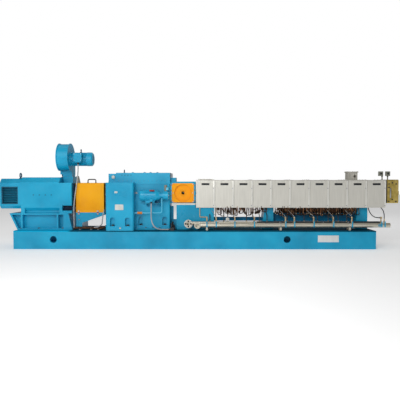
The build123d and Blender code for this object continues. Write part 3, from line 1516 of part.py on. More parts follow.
# Conduits: glands on the boxes and the deck, then each conduit along its own route
with BuildPart() as conduit_glands:
    terminal_middle = -(terminal_back + box_depth / 2)
    disc(Plane.XY.offset(terminal_z - box_height / 2 - gland_length), (terminal_x, terminal_middle),
         gland_radius, gland_length)
    x, y, z = blower_conduit_route[-1]
    disc(Plane.XY.offset(base_height), (x, y), gland_radius, gland_length)
    disc(Plane.XY.offset(lube_entry_height - gland_length), (lube_entry_x, lube_entry_y),
         gland_radius, gland_length)
    x, y, z = lube_conduit_route[-1]
    length, width, height = entry_box_size
    disc(Plane.YZ.offset(x), (y, z), gland_radius - seat_gap, gland_length)
    plate(Plane.XY.offset(base_height), (x + gland_length + length / 2, y), length, width, height)
conduit_glands.part.label = "conduit_glands"
export_step(conduit_glands.part, "parts/conduit_glands.step")

blower_conduit = route_tube(blower_conduit_route, conduit_radius)
blower_conduit.label = "blower_conduit"
export_step(blower_conduit, "parts/blower_conduit.step")

lube_conduit = route_tube(lube_conduit_route, conduit_radius)
lube_conduit.label = "lube_conduit"
export_step(lube_conduit, "parts/lube_conduit.step")

# Hoses from the last valves to the last barrel, with their fittings
with BuildPart() as hose_fittings:
    ferrule_radius = hose_radius + hose_ferrule_wall
    for route in (cooling_hose_route, drain_hose_route):
        x, y, z = route[-1]
        disc(Plane.XY.offset(z), (x, y), ferrule_radius, barrel_underside_at(x) - z)
    x, y, z = cooling_hose_route[0]
    disc(Plane.XY.offset(valve_top), (hose_places[0], supply_y), branch_radius, z - valve_top)
    elbow(hose_places[0], supply_y, z)
    x, y, z = drain_hose_route[0]
    disc(Plane.XY.offset(valve_top), (x, y), ferrule_radius, z - valve_top)
hose_fittings.part.label = "hose_fittings"
export_step(hose_fittings.part, "parts/hose_fittings.step")

cooling_hose = route_tube(cooling_hose_route, hose_radius)
cooling_hose.label = "cooling_hose"
export_step(cooling_hose, "parts/cooling_hose.step")

drain_hose = route_tube(drain_hose_route, hose_radius)
drain_hose.label = "drain_hose"
export_step(drain_hose, "parts/drain_hose.step")
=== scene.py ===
import bpy
import json
import math
import random
import bmesh
from mathutils import Euler, Matrix, Vector


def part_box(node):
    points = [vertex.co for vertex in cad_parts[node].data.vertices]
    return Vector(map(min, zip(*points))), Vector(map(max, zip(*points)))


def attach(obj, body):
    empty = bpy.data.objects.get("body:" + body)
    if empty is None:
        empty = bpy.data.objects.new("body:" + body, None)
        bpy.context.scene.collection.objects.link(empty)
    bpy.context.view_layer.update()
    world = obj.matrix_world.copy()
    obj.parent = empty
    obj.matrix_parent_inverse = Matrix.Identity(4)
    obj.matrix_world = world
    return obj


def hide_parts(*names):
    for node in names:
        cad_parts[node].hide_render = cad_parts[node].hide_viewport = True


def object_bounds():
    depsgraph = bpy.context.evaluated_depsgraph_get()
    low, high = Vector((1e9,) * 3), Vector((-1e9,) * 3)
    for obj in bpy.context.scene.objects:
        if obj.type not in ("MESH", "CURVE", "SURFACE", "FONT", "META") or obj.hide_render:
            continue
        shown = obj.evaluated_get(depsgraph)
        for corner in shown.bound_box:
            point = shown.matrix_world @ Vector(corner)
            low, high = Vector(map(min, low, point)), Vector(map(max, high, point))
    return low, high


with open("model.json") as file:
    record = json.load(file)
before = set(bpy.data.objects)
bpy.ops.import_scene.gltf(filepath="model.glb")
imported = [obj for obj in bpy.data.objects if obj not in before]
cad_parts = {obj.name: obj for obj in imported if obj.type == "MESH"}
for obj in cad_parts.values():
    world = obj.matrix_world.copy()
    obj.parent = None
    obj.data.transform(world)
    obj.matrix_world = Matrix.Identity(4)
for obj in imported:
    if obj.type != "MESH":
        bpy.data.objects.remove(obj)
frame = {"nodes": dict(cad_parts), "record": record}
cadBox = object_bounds()
mm = 0.001
print("frame loaded")

# Camera: the photo's own view, a little right of the middle and a little above the screws
viewpoint = {"place": (0.1536, -9.947, 1.323), "turnLeft": 0.27, "lookDown": 2.18, "lens": 43.38}


def makeCamera(view):
    data = bpy.data.cameras.new("camera")
    data.lens = view["lens"]
    camera = bpy.data.objects.new("camera", data)
    camera.location = view["place"]
    camera.rotation_euler = (math.radians(90 - view["lookDown"]), 0, math.radians(view["turnLeft"]))
    bpy.context.scene.collection.objects.link(camera)
    bpy.context.scene.camera = camera


makeCamera(viewpoint)
print("camera placed")


# Node helpers, for materials, for the surround and for Geometry Nodes
def addNode(tree, kind, inputs, **settings):
    # Each input is linked when it is given a socket, and holds the value otherwise
    made = tree.nodes.new(kind)
    for setting, value in settings.items():
        setattr(made, setting, value)
    for socket, value in inputs.items():
        if isinstance(value, bpy.types.NodeSocket):
            tree.links.new(value, made.inputs[socket])
        else:
            made.inputs[socket].default_value = value
    return made


def startMaterial(name, roughness, metallic=0.0):
    material = bpy.data.materials.new(name)
    material.use_nodes = True
    tree = material.node_tree
    shader = tree.nodes["Principled BSDF"]
    shader.inputs["Roughness"].default_value = roughness
    shader.inputs["Metallic"].default_value = metallic
    place = tree.nodes.new("ShaderNodeTexCoord")
    return material, tree, shader, place.outputs["Object"]


def noiseField(tree, place, scale, detail=3.0, stretch=(1, 1, 1)):
    mapping = addNode(tree, "ShaderNodeMapping", {"Scale": stretch, "Vector": place})
    noise = addNode(tree, "ShaderNodeTexNoise", {
        "Scale": scale, "Detail": detail, "Vector": mapping.outputs["Vector"]})
    return noise.outputs["Fac"]


def tonesFrom(tree, field, stops):
    ramp = addNode(tree, "ShaderNodeValToRGB", {"Fac": field})
    elements = ramp.color_ramp.elements
    for number, (position, colour) in enumerate((stops[0], stops[-1])):
        elements[number].position = position
        elements[number].color = (*colour, 1)
    for position, colour in stops[1:-1]:
        elements.new(position).color = (*colour, 1)
    return ramp.outputs["Color"]


def spread(tree, field, low, high, fromLow=0.3, fromHigh=0.7):
    ranged = addNode(tree, "ShaderNodeMapRange", {
        "Value": field, "From Min": fromLow, "From Max": fromHigh, "To Min": low, "To Max": high})
    return ranged.outputs["Result"]


def blendTones(tree, share, first, second):
    # Inputs 6 and 7 and output 2 are the node's colours
    tones = [(*tone, 1) if isinstance(tone, tuple) else tone for tone in (first, second)]
    mix = addNode(tree, "ShaderNodeMix", {"Factor": share, 6: tones[0], 7: tones[1]}, data_type="RGBA")
    return mix.outputs[2]


def softEdges(tree, radius):
    return addNode(tree, "ShaderNodeBevel", {"Radius": radius}, samples=4).outputs["Normal"]


def edgeMask(tree, rounded):
    # 1 along sharp edges and 0 on flat faces
    geometry = tree.nodes.new("ShaderNodeNewGeometry")
    dot = addNode(tree, "ShaderNodeVectorMath", {0: rounded, 1: geometry.outputs["Normal"]},
                  operation="DOT_PRODUCT")
    return spread(tree, dot.outputs["Value"], 1.0, 0.0, 0.9, 0.995)


def bumpFrom(tree, height, strength, distance, normal):
    bump = addNode(tree, "ShaderNodeBump", {
        "Strength": strength, "Distance": distance, "Height": height, "Normal": normal})
    return bump.outputs["Normal"]


def shade(tree, shader, colour, roughness, normal):
    tree.links.new(colour, shader.inputs["Base Color"])
    tree.links.new(roughness, shader.inputs["Roughness"])
    tree.links.new(normal, shader.inputs["Normal"])


dustTone = (0.42, 0.45, 0.46)


def enamel(name, deep, plain, pale, gloss, edge=0.003, grain=320.0, relief=0.0004, shine=0.32):
    # Sprayed machine enamel: slow drift in tone, orange peel, paler edges that are partly worn paint and
    # partly painted highlight, and a little dust
    material, tree, shader, place = startMaterial(name, gloss)
    drift = noiseField(tree, place, 1.7, 4.0)
    body = tonesFrom(tree, drift, [(0.3, deep), (0.52, plain), (0.75, pale)])
    rounded = softEdges(tree, edge)
    rim = edgeMask(tree, rounded)
    # Sharp edges take a paler tone: worn paint and painted highlight
    wornAndHighlit = blendTones(tree, rim, body, tuple(min(1, c * 1.2 + 0.015) for c in pale))
    dust = spread(tree, noiseField(tree, place, 5.5, 5.0), 0.0, 0.03, 0.5, 0.85)
    coated = blendTones(tree, dust, wornAndHighlit, dustTone)
    peel = noiseField(tree, place, grain, 2.0)
    shader.inputs["Specular IOR Level"].default_value = shine
    shader.inputs["Coat Weight"].default_value = shine / 4
    shader.inputs["Coat Roughness"].default_value = 0.15
    shade(tree, shader, coated, spread(tree, drift, gloss - 0.06, gloss + 0.1),
          bumpFrom(tree, peel, 0.25, relief, rounded))
    return material


def brushedMetal(name, deep, plain, pale, roughness, stretch, edge=0.0015, metallic=1.0):
    # Sheet or turned metal with a grain along one way
    material, tree, shader, place = startMaterial(name, roughness, metallic)
    streak = noiseField(tree, place, 1.0, 4.0, stretch)
    cloud = spread(tree, noiseField(tree, place, 2.3, 3.0), 0.0, 0.25)
    grainTone = tonesFrom(tree, streak, [(0.3, deep), (0.5, plain), (0.72, pale)])
    shader.inputs["Anisotropic"].default_value = 0.4
    shade(tree, shader, blendTones(tree, cloud, grainTone, deep),
          spread(tree, streak, roughness - 0.05, roughness + 0.1),
          bumpFrom(tree, streak, 0.12, 0.0002, softEdges(tree, edge)))
    return material


def darkenedSteel(name, deep, plain, pale, roughness):
    # Machined metal that heat and air have darkened in patches
    material, tree, shader, place = startMaterial(name, roughness, 0.85)
    patch = noiseField(tree, place, 9.0, 6.0)
    fine = noiseField(tree, place, 140.0, 3.0)
    tone = tonesFrom(tree, patch, [(0.3, deep), (0.5, plain), (0.7, pale)])
    shade(tree, shader, tone, spread(tree, patch, roughness - 0.1, roughness + 0.15),
          bumpFrom(tree, fine, 0.2, 0.0003, softEdges(tree, 0.0015)))
    return material


def mouldedPlastic(name, deep, plain, roughness, grain=260.0):
    material, tree, shader, place = startMaterial(name, roughness)
    tone = tonesFrom(tree, noiseField(tree, place, 14.0, 4.0), [(0.3, deep), (0.7, plain)])
    fine = noiseField(tree, place, grain, 2.0)
    shade(tree, shader, tone, spread(tree, fine, roughness - 0.05, roughness + 0.08),
          bumpFrom(tree, fine, 0.3, 0.0003, softEdges(tree, 0.001)))
    return material


machineBlue = enamel("machineBlue", (0.001, 0.265, 0.455), (0.003, 0.335, 0.555),
                     (0.010, 0.40, 0.63), 0.30)
baseBlue = enamel("baseBlue", (0.001, 0.235, 0.40), (0.002, 0.300, 0.50),
                  (0.006, 0.36, 0.57), 0.42, grain=180.0)
# Near-black blue for the deck: painted shade from the barrels and pipes above it
deckShadeBlue = enamel("deckShadeBlue", (0.001, 0.045, 0.08), (0.002, 0.075, 0.13), (0.004, 0.11, 0.18),
                  0.7, grain=120.0, shine=0.02)
louvreBlue = enamel("louvreBlue", (0.001, 0.055, 0.10), (0.002, 0.085, 0.15),
                    (0.004, 0.13, 0.21), 0.4)
# Near-black blue: painted shade on the drive-end shield between motor and guard, in pockets and under the
# lube motor's shelf
paintedShadeBlue = enamel("paintedShadeBlue", (0.002, 0.012, 0.03), (0.004, 0.022, 0.05),
                    (0.008, 0.04, 0.08), 0.5, shine=0.1)
troughBlue = enamel("troughBlue", (0.001, 0.10, 0.22), (0.002, 0.15, 0.31), (0.004, 0.20, 0.38),
                    0.45, shine=0.15)
pipeBlue = enamel("pipeBlue", (0.05, 0.40, 0.60), (0.09, 0.48, 0.68), (0.15, 0.55, 0.74), 0.3)
guardYellow = enamel("guardYellow", (0.78, 0.31, 0.002), (0.87, 0.38, 0.004),
                     (0.92, 0.43, 0.010), 0.36, shine=0.15)
lanternYellow = enamel("lanternYellow", (0.86, 0.30, 0.001), (0.93, 0.345, 0.002),
                       (0.96, 0.40, 0.006), 0.36, shine=0.15)
dishShade = enamel("dishShade", (0.36, 0.12, 0.002), (0.46, 0.16, 0.003), (0.55, 0.20, 0.006), 0.4)
# Dark grey enamel; on thin discs and sheets it is painted shade in holes, recesses and slots
louvreGrey = enamel("louvreGrey", (0.012, 0.016, 0.02), (0.022, 0.028, 0.034),
                    (0.05, 0.06, 0.07), 0.5)
coverSteel = brushedMetal("coverSteel", (0.60, 0.585, 0.53), (0.655, 0.64, 0.58),
                          (0.72, 0.705, 0.64), 0.38, (90, 90, 2.5), metallic=0.55)
paleSteel = brushedMetal("paleSteel", (0.74, 0.73, 0.68), (0.80, 0.79, 0.74),
                         (0.86, 0.85, 0.80), 0.32, (90, 90, 3), metallic=0.4)
ventSteel = brushedMetal("ventSteel", (0.42, 0.40, 0.35), (0.52, 0.50, 0.44),
                         (0.62, 0.60, 0.54), 0.4, (60, 60, 4), metallic=0.6)
blankPlate = brushedMetal("blankPlate", (0.60, 0.60, 0.59), (0.68, 0.68, 0.67),
                          (0.76, 0.76, 0.75), 0.35, (180, 180, 3), metallic=0.2)
brightSteel = brushedMetal("brightSteel", (0.38, 0.39, 0.40), (0.50, 0.51, 0.52),
                           (0.62, 0.63, 0.64), 0.28, (240, 60, 60))
pipeSteel = brushedMetal("pipeSteel", (0.50, 0.46, 0.37), (0.60, 0.565, 0.465),
                         (0.72, 0.69, 0.59), 0.30, (3, 120, 120), metallic=0.75)
barrelSteel = darkenedSteel("barrelSteel", (0.09, 0.065, 0.05), (0.17, 0.14, 0.12),
                            (0.30, 0.26, 0.23), 0.45)
brassFitting = darkenedSteel("brassFitting", (0.36, 0.27, 0.15), (0.54, 0.43, 0.26),
                             (0.68, 0.57, 0.38), 0.34)
dieGold = darkenedSteel("dieGold", (0.36, 0.27, 0.06), (0.53, 0.40, 0.11), (0.66, 0.52, 0.18), 0.42)
# Copper much darker than copperTube; on the loops under the covers it is painted shade
darkCopper = darkenedSteel("darkCopper", (0.030, 0.014, 0.008), (0.075, 0.038, 0.020),
                               (0.20, 0.10, 0.05), 0.42)
# Bright copper; on the loops under the covers it is painted highlight
copperTube = darkenedSteel("copperTube", (0.20, 0.085, 0.035), (0.36, 0.165, 0.075),
                           (0.52, 0.28, 0.15), 0.34)
heaterBrown = darkenedSteel("heaterBrown", (0.020, 0.010, 0.007), (0.045, 0.026, 0.018),
                            (0.09, 0.06, 0.045), 0.6)
blackPlastic = mouldedPlastic("blackPlastic", (0.010, 0.010, 0.012), (0.022, 0.022, 0.025), 0.42)
conduitGrey = mouldedPlastic("conduitGrey", (0.30, 0.31, 0.32), (0.44, 0.45, 0.46), 0.5)
hoseBlack = mouldedPlastic("hoseBlack", (0.012, 0.013, 0.015), (0.03, 0.033, 0.036), 0.55)
sensorSlate = mouldedPlastic("sensorSlate", (0.15, 0.155, 0.125), (0.25, 0.255, 0.205), 0.4)
paleCap = mouldedPlastic("paleCap", (0.50, 0.50, 0.46), (0.62, 0.62, 0.58), 0.45)
signalRed = mouldedPlastic("signalRed", (0.22, 0.016, 0.012), (0.34, 0.030, 0.022), 0.4)
signalOrange = mouldedPlastic("signalOrange", (0.62, 0.15, 0.010), (0.76, 0.22, 0.016), 0.4)

# The deck keeps a plain blue beside the motor and has painted shade, a near-black blue, beside the barrels
unshadedDeck = {"tone": (0.004, 0.36, 0.60), "unshadedUntil": -2.50, "darkFrom": -2.42}


def unshadedTowardsMotor(material, plan):
    tree = material.node_tree
    base = tree.nodes["Principled BSDF"].inputs["Base Color"]
    dark = base.links[0].from_socket
    place = tree.nodes.new("ShaderNodeTexCoord")
    apart = addNode(tree, "ShaderNodeSeparateXYZ", {"Vector": place.outputs["Object"]})
    share = spread(tree, apart.outputs["X"], 0.0, 1.0, plan["unshadedUntil"], plan["darkFrom"])
    # Plain blue near the motor, fading into the painted shade further along
    tree.links.new(blendTones(tree, share, plan["tone"], dark), base)


unshadedTowardsMotor(deckShadeBlue, unshadedDeck)

finishOf = {
    "machine_blue": machineBlue, "base_blue": baseBlue, "guard_yellow": guardYellow,
    "cover_steel": coverSteel, "barrel_steel": barrelSteel, "bright_steel": brightSteel,
    "pipe_steel": pipeSteel, "copper_tube": brassFitting, "die_bronze": dieGold,
    "black_plastic": blackPlastic, "louvre_dark": louvreGrey, "conduit_grey": conduitGrey,
    "hose_black": hoseBlack, "sensor_grey": sensorSlate,
}
ownFinish = {
    # The drive-end shield's near-black blue is painted shade
    "motor_louvres": louvreBlue, "motor_drive_end_shield": paintedShadeBlue, "lube_pipes": pipeBlue,
    "lantern_guards": lanternYellow, "base_deck": deckShadeBlue, "feed_inlet": coverSteel,
    "vent_port": ventSteel, "cable_trough": troughBlue,
}
slotOf = {row["node"]: row["material_slot"] for row in frame["record"]["subparts"]}
for nodeName in frame["nodes"]:
    cadObject = bpy.data.objects[nodeName]
    cadObject.data.materials.clear()
    cadObject.data.materials.append(ownFinish.get(nodeName, finishOf[slotOf[nodeName]]))
# The slot that each finish belongs to
slotUnder = {finish.name: slot for slot, finish in finishOf.items()}
for slot, finishes in {
        "machine_blue": (baseBlue, louvreBlue, paintedShadeBlue, pipeBlue), "conduit_grey": (paleCap,),
        "cover_steel": (paleSteel, blankPlate), "copper_tube": (copperTube, darkCopper),
        "hose_black": (heaterBrown,), "guard_yellow": (dishShade, signalRed, signalOrange)}.items():
    slotUnder.update({finish.name: slot for finish in finishes})
print("enamel and metal on the frame")

# Edges sharper than this angle, in radians, stay sharp
crease = 0.6


# Mesh helpers: every finished piece lies at the origin with its place in its mesh
def finishPiece(mesh, name, material, smooth=True, creases=None):
    piece = bpy.data.objects.new(name, mesh)
    bpy.context.scene.collection.objects.link(piece)
    if not mesh.materials:
        mesh.materials.append(material)
    mesh.polygons.foreach_set("use_smooth", [smooth] * len(mesh.polygons))
    if smooth and creases:
        mesh.set_sharp_from_angle(angle=creases)
    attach(piece, "root")
    return piece


def meshFrom(form, name):
    mesh = bpy.data.meshes.new(name)
    form.to_mesh(mesh)
    form.free()
    return mesh


def shownPiece(name, form, material, smooth=True):
    return finishPiece(meshFrom(form, name), name, material, smooth, crease)


def circle(form, middle, side, up, radius, count, scale=mm):
    # Points evenly round a middle
    turns = (2 * math.pi * number / count for number in range(count))
    return [form.verts.new((middle + radius * (side * math.cos(turn) + up * math.sin(turn))) * scale)
            for turn in turns]


def joinRings(form, rings):
    # Faces from each ring to the next, where a ring may be a single point
    made = []
    for near, far in zip(rings, rings[1:]):
        count = max(len(near), len(far))
        for number in range(count):
            following = (number + 1) % count
            if len(near) == 1:
                corners = (near[0], far[following], far[number])
            elif len(far) == 1:
                corners = (near[number], near[following], far[0])
            else:
                corners = (near[number], near[following], far[following], far[number])
            made.append(form.faces.new(corners))
    return made


def splineCurve(points, name, thickness=0.0, sides=6):
    curve = bpy.data.curves.new(name, "CURVE")
    curve.dimensions = "3D"
    curve.resolution_u = 10
    curve.bevel_depth = thickness / 2
    curve.bevel_resolution = sides
    curve.use_fill_caps = True
    spline = curve.splines.new("NURBS")
    spline.points.add(len(points) - 1)
    for knot, point in zip(spline.points, points):
        knot.co = (*(Vector(point) * mm), 1)
    spline.order_u = 3
    spline.use_endpoint_u = True
    return curve


def followedPoints(points):
    curve = splineCurve(points, "routeOnly")
    holder = bpy.data.objects.new("routeOnly", curve)
    bpy.context.scene.collection.objects.link(holder)
    bpy.context.view_layer.update()
    mesh = bpy.data.meshes.new_from_object(holder.evaluated_get(
        bpy.context.evaluated_depsgraph_get()))
    line = [vertex.co.copy() for vertex in mesh.vertices]
    bpy.data.objects.remove(holder)
    bpy.data.curves.remove(curve)
    bpy.data.meshes.remove(mesh)
    return line


def evenlySpaced(line, step):
    # Walks the line and drops a point every step, both ends kept
    total = sum((b - a).length for a, b in zip(line, line[1:]))
    count = max(2, round(total / step))
    found, walked, index = [], 0.0, 0
    for target in (total * number / count for number in range(count + 1)):
        while index < len(line) - 2 and walked + (line[index + 1] - line[index]).length < target:
            walked += (line[index + 1] - line[index]).length
            index += 1
        span = line[index + 1] - line[index]
        share = min(1.0, (target - walked) / span.length)
        found.append(line[index] + span * share)
    return found


def tubeAlong(line, radii, sides, name):
    # A closed tube whose radius may change from ring to ring
    form = bmesh.new()
    rings, side = [], None
    for index, (point, radius) in enumerate(zip(line, radii)):
        before = line[max(0, index - 1)]
        after = line[min(len(line) - 1, index + 1)]
        along = (after - before).normalized()
        if side is None:
            side = along.orthogonal().normalized()
        side = (side - along * side.dot(along)).normalized()
        rings.append(circle(form, point, side, along.cross(side), radius, sides, 1))
    joinRings(form, rings)
    form.faces.new(list(reversed(rings[0])))
    form.faces.new(rings[-1])
    bmesh.ops.recalc_face_normals(form, faces=form.faces)
    return meshFrom(form, name)


# Cords: corrugated conduits and smooth hoses along the frame's routes
corrugation = {"pitch": 0.0085, "depth": 0.0022, "sides": 14}
blowerConduit = {
    "route": [(-2337, -275, 1674), (-2337, -275, 1570), (-2346, -287, 1405), (-2373, -302, 1210),
              (-2404, -308, 990), (-2425, -306, 780), (-2421, -300, 580), (-2421, -300, 394)],
    "diameter": 0.025, "length": 1.286,
}
lubeConduit = {
    "route": [(-851, -480, 896), (-851, -480, 800), (-854, -484, 690), (-850, -485, 580),
              (-826, -480, 484), (-772, -472, 412), (-696, -465, 381), (-605, -458, 379),
              (-510, -458, 379)],
    "diameter": 0.025, "length": 0.770,
}
coolingHose = {
    "route": [(3657, -450, 612), (3596, -450, 612), (3540, -434, 630), (3503, -388, 672),
              (3493, -316, 724), (3502, -238, 770), (3519, -168, 812), (3535, -122, 858),
              (3540, -105, 908), (3540, -105, 950)],
    "diameter": 0.018, "length": 0.615,
}
drainHose = {
    "route": [(3740, -450, 590), (3740, -450, 646), (3741, -432, 700), (3741, -386, 748),
              (3740, -316, 783), (3739, -238, 810), (3740, -168, 842), (3740, -124, 884),
              (3740, -110, 932), (3740, -110, 960)],
    "diameter": 0.018, "length": 0.552,
}


def corrugatedConduit(name, conduit, ribs, node):
    points = evenlySpaced(followedPoints(conduit["route"]), ribs["pitch"] / 2)
    outer = conduit["diameter"] / 2
    radii = [outer if index % 2 else outer - ribs["depth"] for index in range(len(points))]
    radii[0] = radii[-1] = outer - ribs["depth"]
    mesh = tubeAlong(points, radii, ribs["sides"], name)
    piece = finishPiece(mesh, name, conduitGrey)
    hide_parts(node)


def rubberHose(name, hose, node):
    curve = splineCurve(hose["route"], name, hose["diameter"])
    piece = bpy.data.objects.new(name, curve)
    bpy.context.scene.collection.objects.link(piece)
    curve.materials.append(hoseBlack)
    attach(piece, "root")
    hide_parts(node)


corrugatedConduit("blowerConduit", blowerConduit, corrugation, "blower_conduit")
corrugatedConduit("lubeConduit", lubeConduit, corrugation, "lube_conduit")
rubberHose("coolingHose", coolingHose, "cooling_hose")
rubberHose("drainHose", drainHose, "drain_hose")
print("conduits and hoses laid")


# Geometry Nodes: a tree with named inputs, run on a source object and kept as a plain mesh
def newTree(name, inputs):
    tree = bpy.data.node_groups.new(name, "GeometryNodeTree")
    tree.interface.new_socket("Geometry", in_out="OUTPUT", socket_type="NodeSocketGeometry")
    for label, kind in {"Geometry": "Geometry", **inputs, "Material": "Material"}.items():
        tree.interface.new_socket(label, in_out="INPUT", socket_type="NodeSocket" + kind)
    return tree, tree.nodes.new("NodeGroupInput").outputs, tree.nodes.new("NodeGroupOutput")


def closeTree(tree, given, end, geometry):
    realized = addNode(tree, "GeometryNodeRealizeInstances", {"Geometry": geometry})
    painted = addNode(tree, "GeometryNodeSetMaterial", {
        "Geometry": realized.outputs["Geometry"], "Material": given["Material"]})
    tree.links.new(painted.outputs["Geometry"], end.inputs["Geometry"])
    return tree


def fastenerTree():
    # A headed screw with its washer on every point, turned to the point's facing and spun at random
    tree, given, end = newTree("fasteners", {
        "Head Radius": "Float", "Head Height": "Float", "Washer Radius": "Float",
        "Washer Height": "Float", "Sides": "Int", "Seed": "Int"})
    screw = tree.nodes.new("GeometryNodeJoinGeometry")
    for form, sides in (("Head", given["Sides"]), ("Washer", 16)):
        height = given[form + " Height"]
        drum = addNode(tree, "GeometryNodeMeshCylinder", {
            "Vertices": sides, "Radius": given[form + " Radius"], "Depth": height})
        half = addNode(tree, "ShaderNodeMath", {0: height, 1: 0.5}, operation="MULTIPLY")
        lift = addNode(tree, "ShaderNodeCombineXYZ", {"Z": half.outputs["Value"]})
        moved = addNode(tree, "GeometryNodeTransform", {
            "Geometry": drum.outputs["Mesh"], "Translation": lift.outputs["Vector"]})
        tree.links.new(moved.outputs["Geometry"], screw.inputs["Geometry"])
    facing = addNode(tree, "GeometryNodeInputNamedAttribute", {"Name": "facing"},
                     data_type="FLOAT_VECTOR")
    aim = addNode(tree, "FunctionNodeAlignRotationToVector", {"Vector": facing.outputs["Attribute"]},
                  axis="Z")
    # Input 3 and output 1 are the node's plain numbers
    chance = addNode(tree, "FunctionNodeRandomValue", {3: math.pi, "Seed": given["Seed"]},
                     data_type="FLOAT")
    spin = addNode(tree, "FunctionNodeAxisAngleToRotation", {
        "Axis": (0, 0, 1), "Angle": chance.outputs[1]})
    turned = addNode(tree, "FunctionNodeRotateRotation", {
        "Rotation": aim.outputs["Rotation"], "Rotate By": spin.outputs["Rotation"]},
        rotation_space="LOCAL")
    placed = addNode(tree, "GeometryNodeInstanceOnPoints", {
        "Points": given["Geometry"], "Instance": screw.outputs["Geometry"],
        "Rotation": turned.outputs["Rotation"]})
    return closeTree(tree, given, end, placed.outputs["Instances"])


def pipeTree():
    # Round pipe along every line of a curve, with bends of one radius
    tree, given, end = newTree("pipes", {"Pipe Radius": "Float", "Bend Radius": "Float",
                                         "Sides": "Int"})
    bent = addNode(tree, "GeometryNodeFilletCurve", {
        "Count": 7, "Limit Radius": True, "Curve": given["Geometry"],
        "Radius": given["Bend Radius"]}, mode="POLY")
    section = addNode(tree, "GeometryNodeCurvePrimitiveCircle", {
        "Radius": given["Pipe Radius"], "Resolution": given["Sides"]})
    tube = addNode(tree, "GeometryNodeCurveToMesh", {
        "Fill Caps": True, "Curve": bent.outputs["Curve"], "Profile Curve": section.outputs["Curve"]})
    return closeTree(tree, given, end, tube.outputs["Mesh"])


def repeatTree():
    # One object on every point
    tree, given, end = newTree("repeats", {"Unit": "Object"})
    unit = addNode(tree, "GeometryNodeObjectInfo", {"Object": given["Unit"]})
    placed = addNode(tree, "GeometryNodeInstanceOnPoints", {
        "Points": given["Geometry"], "Instance": unit.outputs["Geometry"]})
    return closeTree(tree, given, end, placed.outputs["Instances"])


def runTree(tree, source, settings, name, material):
    bpy.context.scene.collection.objects.link(source)
    modifier = source.modifiers.new(name, "NODES")
    modifier.node_group = tree
    sockets = {item.name: item.identifier for item in tree.interface.items_tree
               if item.item_type == "SOCKET" and item.in_out == "INPUT"}
    for label, value in dict(settings, Material=material).items():
        modifier[sockets[label]] = value
    bpy.context.view_layer.update()
    graph = bpy.context.evaluated_depsgraph_get()
    mesh = bpy.data.meshes.new_from_object(source.evaluated_get(graph), depsgraph=graph)
    source.modifiers.remove(modifier)
    bpy.data.objects.remove(source)
    mesh.name = name
    return finishPiece(mesh, name, material, creases=crease)


fastenersOn = fastenerTree()
pipesAlong = pipeTree()
repeatsOn = repeatTree()
washerShare = 0.28
spinSeed = 11


def pointsObject(spots, name):
    mesh = bpy.data.meshes.new(name)
    mesh.from_pydata([Vector(spot[0]) * mm for spot in spots], [], [])
    if len(spots[0]) > 1:
        facing = mesh.attributes.new("facing", "FLOAT_VECTOR", "POINT")
        for number, spot in enumerate(spots):
            facing.data[number].vector = spot[1]
    return bpy.data.objects.new(name, mesh)


def fasteners(name, spots, size, material, sides=6):
    # size is head radius, head height and washer radius, in millimetres
    head, height, washer = size
    settings = {"Head Radius": head * mm, "Head Height": height * mm, "Washer Radius": washer * mm,
                "Washer Height": height * mm * washerShare, "Sides": sides, "Seed": spinSeed}
    return runTree(fastenersOn, pointsObject(spots, name), settings, name, material)


def pipes(name, routes, radius, bend, material, sides=14):
    curve = bpy.data.curves.new(name, "CURVE")
    curve.dimensions = "3D"
    for route in routes:
        spline = curve.splines.new("POLY")
        spline.points.add(len(route) - 1)
        for knot, point in zip(spline.points, route):
            knot.co = (*(Vector(point) * mm), 1)
    settings = {"Pipe Radius": radius * mm, "Bend Radius": bend * mm, "Sides": sides}
    return runTree(pipesAlong, bpy.data.objects.new(name, curve), settings, name, material)


def repeated(name, form, spots, material):
    unit = bpy.data.objects.new(name + "Unit", meshFrom(form, name + "Unit"))
    bpy.context.scene.collection.objects.link(unit)
    piece = runTree(repeatsOn, pointsObject([(spot,) for spot in spots], name), {"Unit": unit}, name,
                    material)
    bpy.data.objects.remove(unit)
    return piece


# Solid forms, in millimetres, added to an open bmesh
def axesOf(direction):
    along = Vector(direction).normalized()
    side = along.orthogonal().normalized()
    return along, side, along.cross(side)


def turned(form, profile, centre, direction, sides=24):
    # Revolves (radius, along) points about a line through the centre
    along, side, up = axesOf(direction)
    rings = []
    for radius, distance in profile:
        middle = Vector(centre) + along * distance
        if radius < 0.01:
            rings.append([form.verts.new(middle * mm)])
        else:
            rings.append(circle(form, middle, side, up, radius, sides))
    bmesh.ops.recalc_face_normals(form, faces=joinRings(form, rings))


def ringAround(form, centre, direction, radius, wire, sides=32, wireSides=12):
    along, side, up = axesOf(direction)
    rings = []
    for turn in (2 * math.pi * number / sides for number in range(sides)):
        outward = side * math.cos(turn) + up * math.sin(turn)
        rings.append(circle(form, Vector(centre) + outward * radius, outward, along, wire, wireSides))
    bmesh.ops.recalc_face_normals(form, faces=joinRings(form, rings + rings[:1]))


def block(form, low, high, edge=1.5, turn=(0, 0, 0)):
    # A box with bevelled edges, which may be turned about its middle
    made = bmesh.ops.create_cube(form, size=1.0)["verts"]
    middle = (Vector(low) + Vector(high)) / 2
    sizes = (Vector(high) - Vector(low)) * mm
    place = Matrix.Translation(middle * mm) @ Euler(turn).to_matrix().to_4x4()
    bmesh.ops.transform(form, matrix=place @ Matrix.Diagonal((*sizes, 1)), verts=made)
    edges = list({link for vertex in made for link in vertex.link_edges})
    bmesh.ops.bevel(form, geom=edges, offset=edge * mm, segments=2, profile=0.6, affect="EDGES")


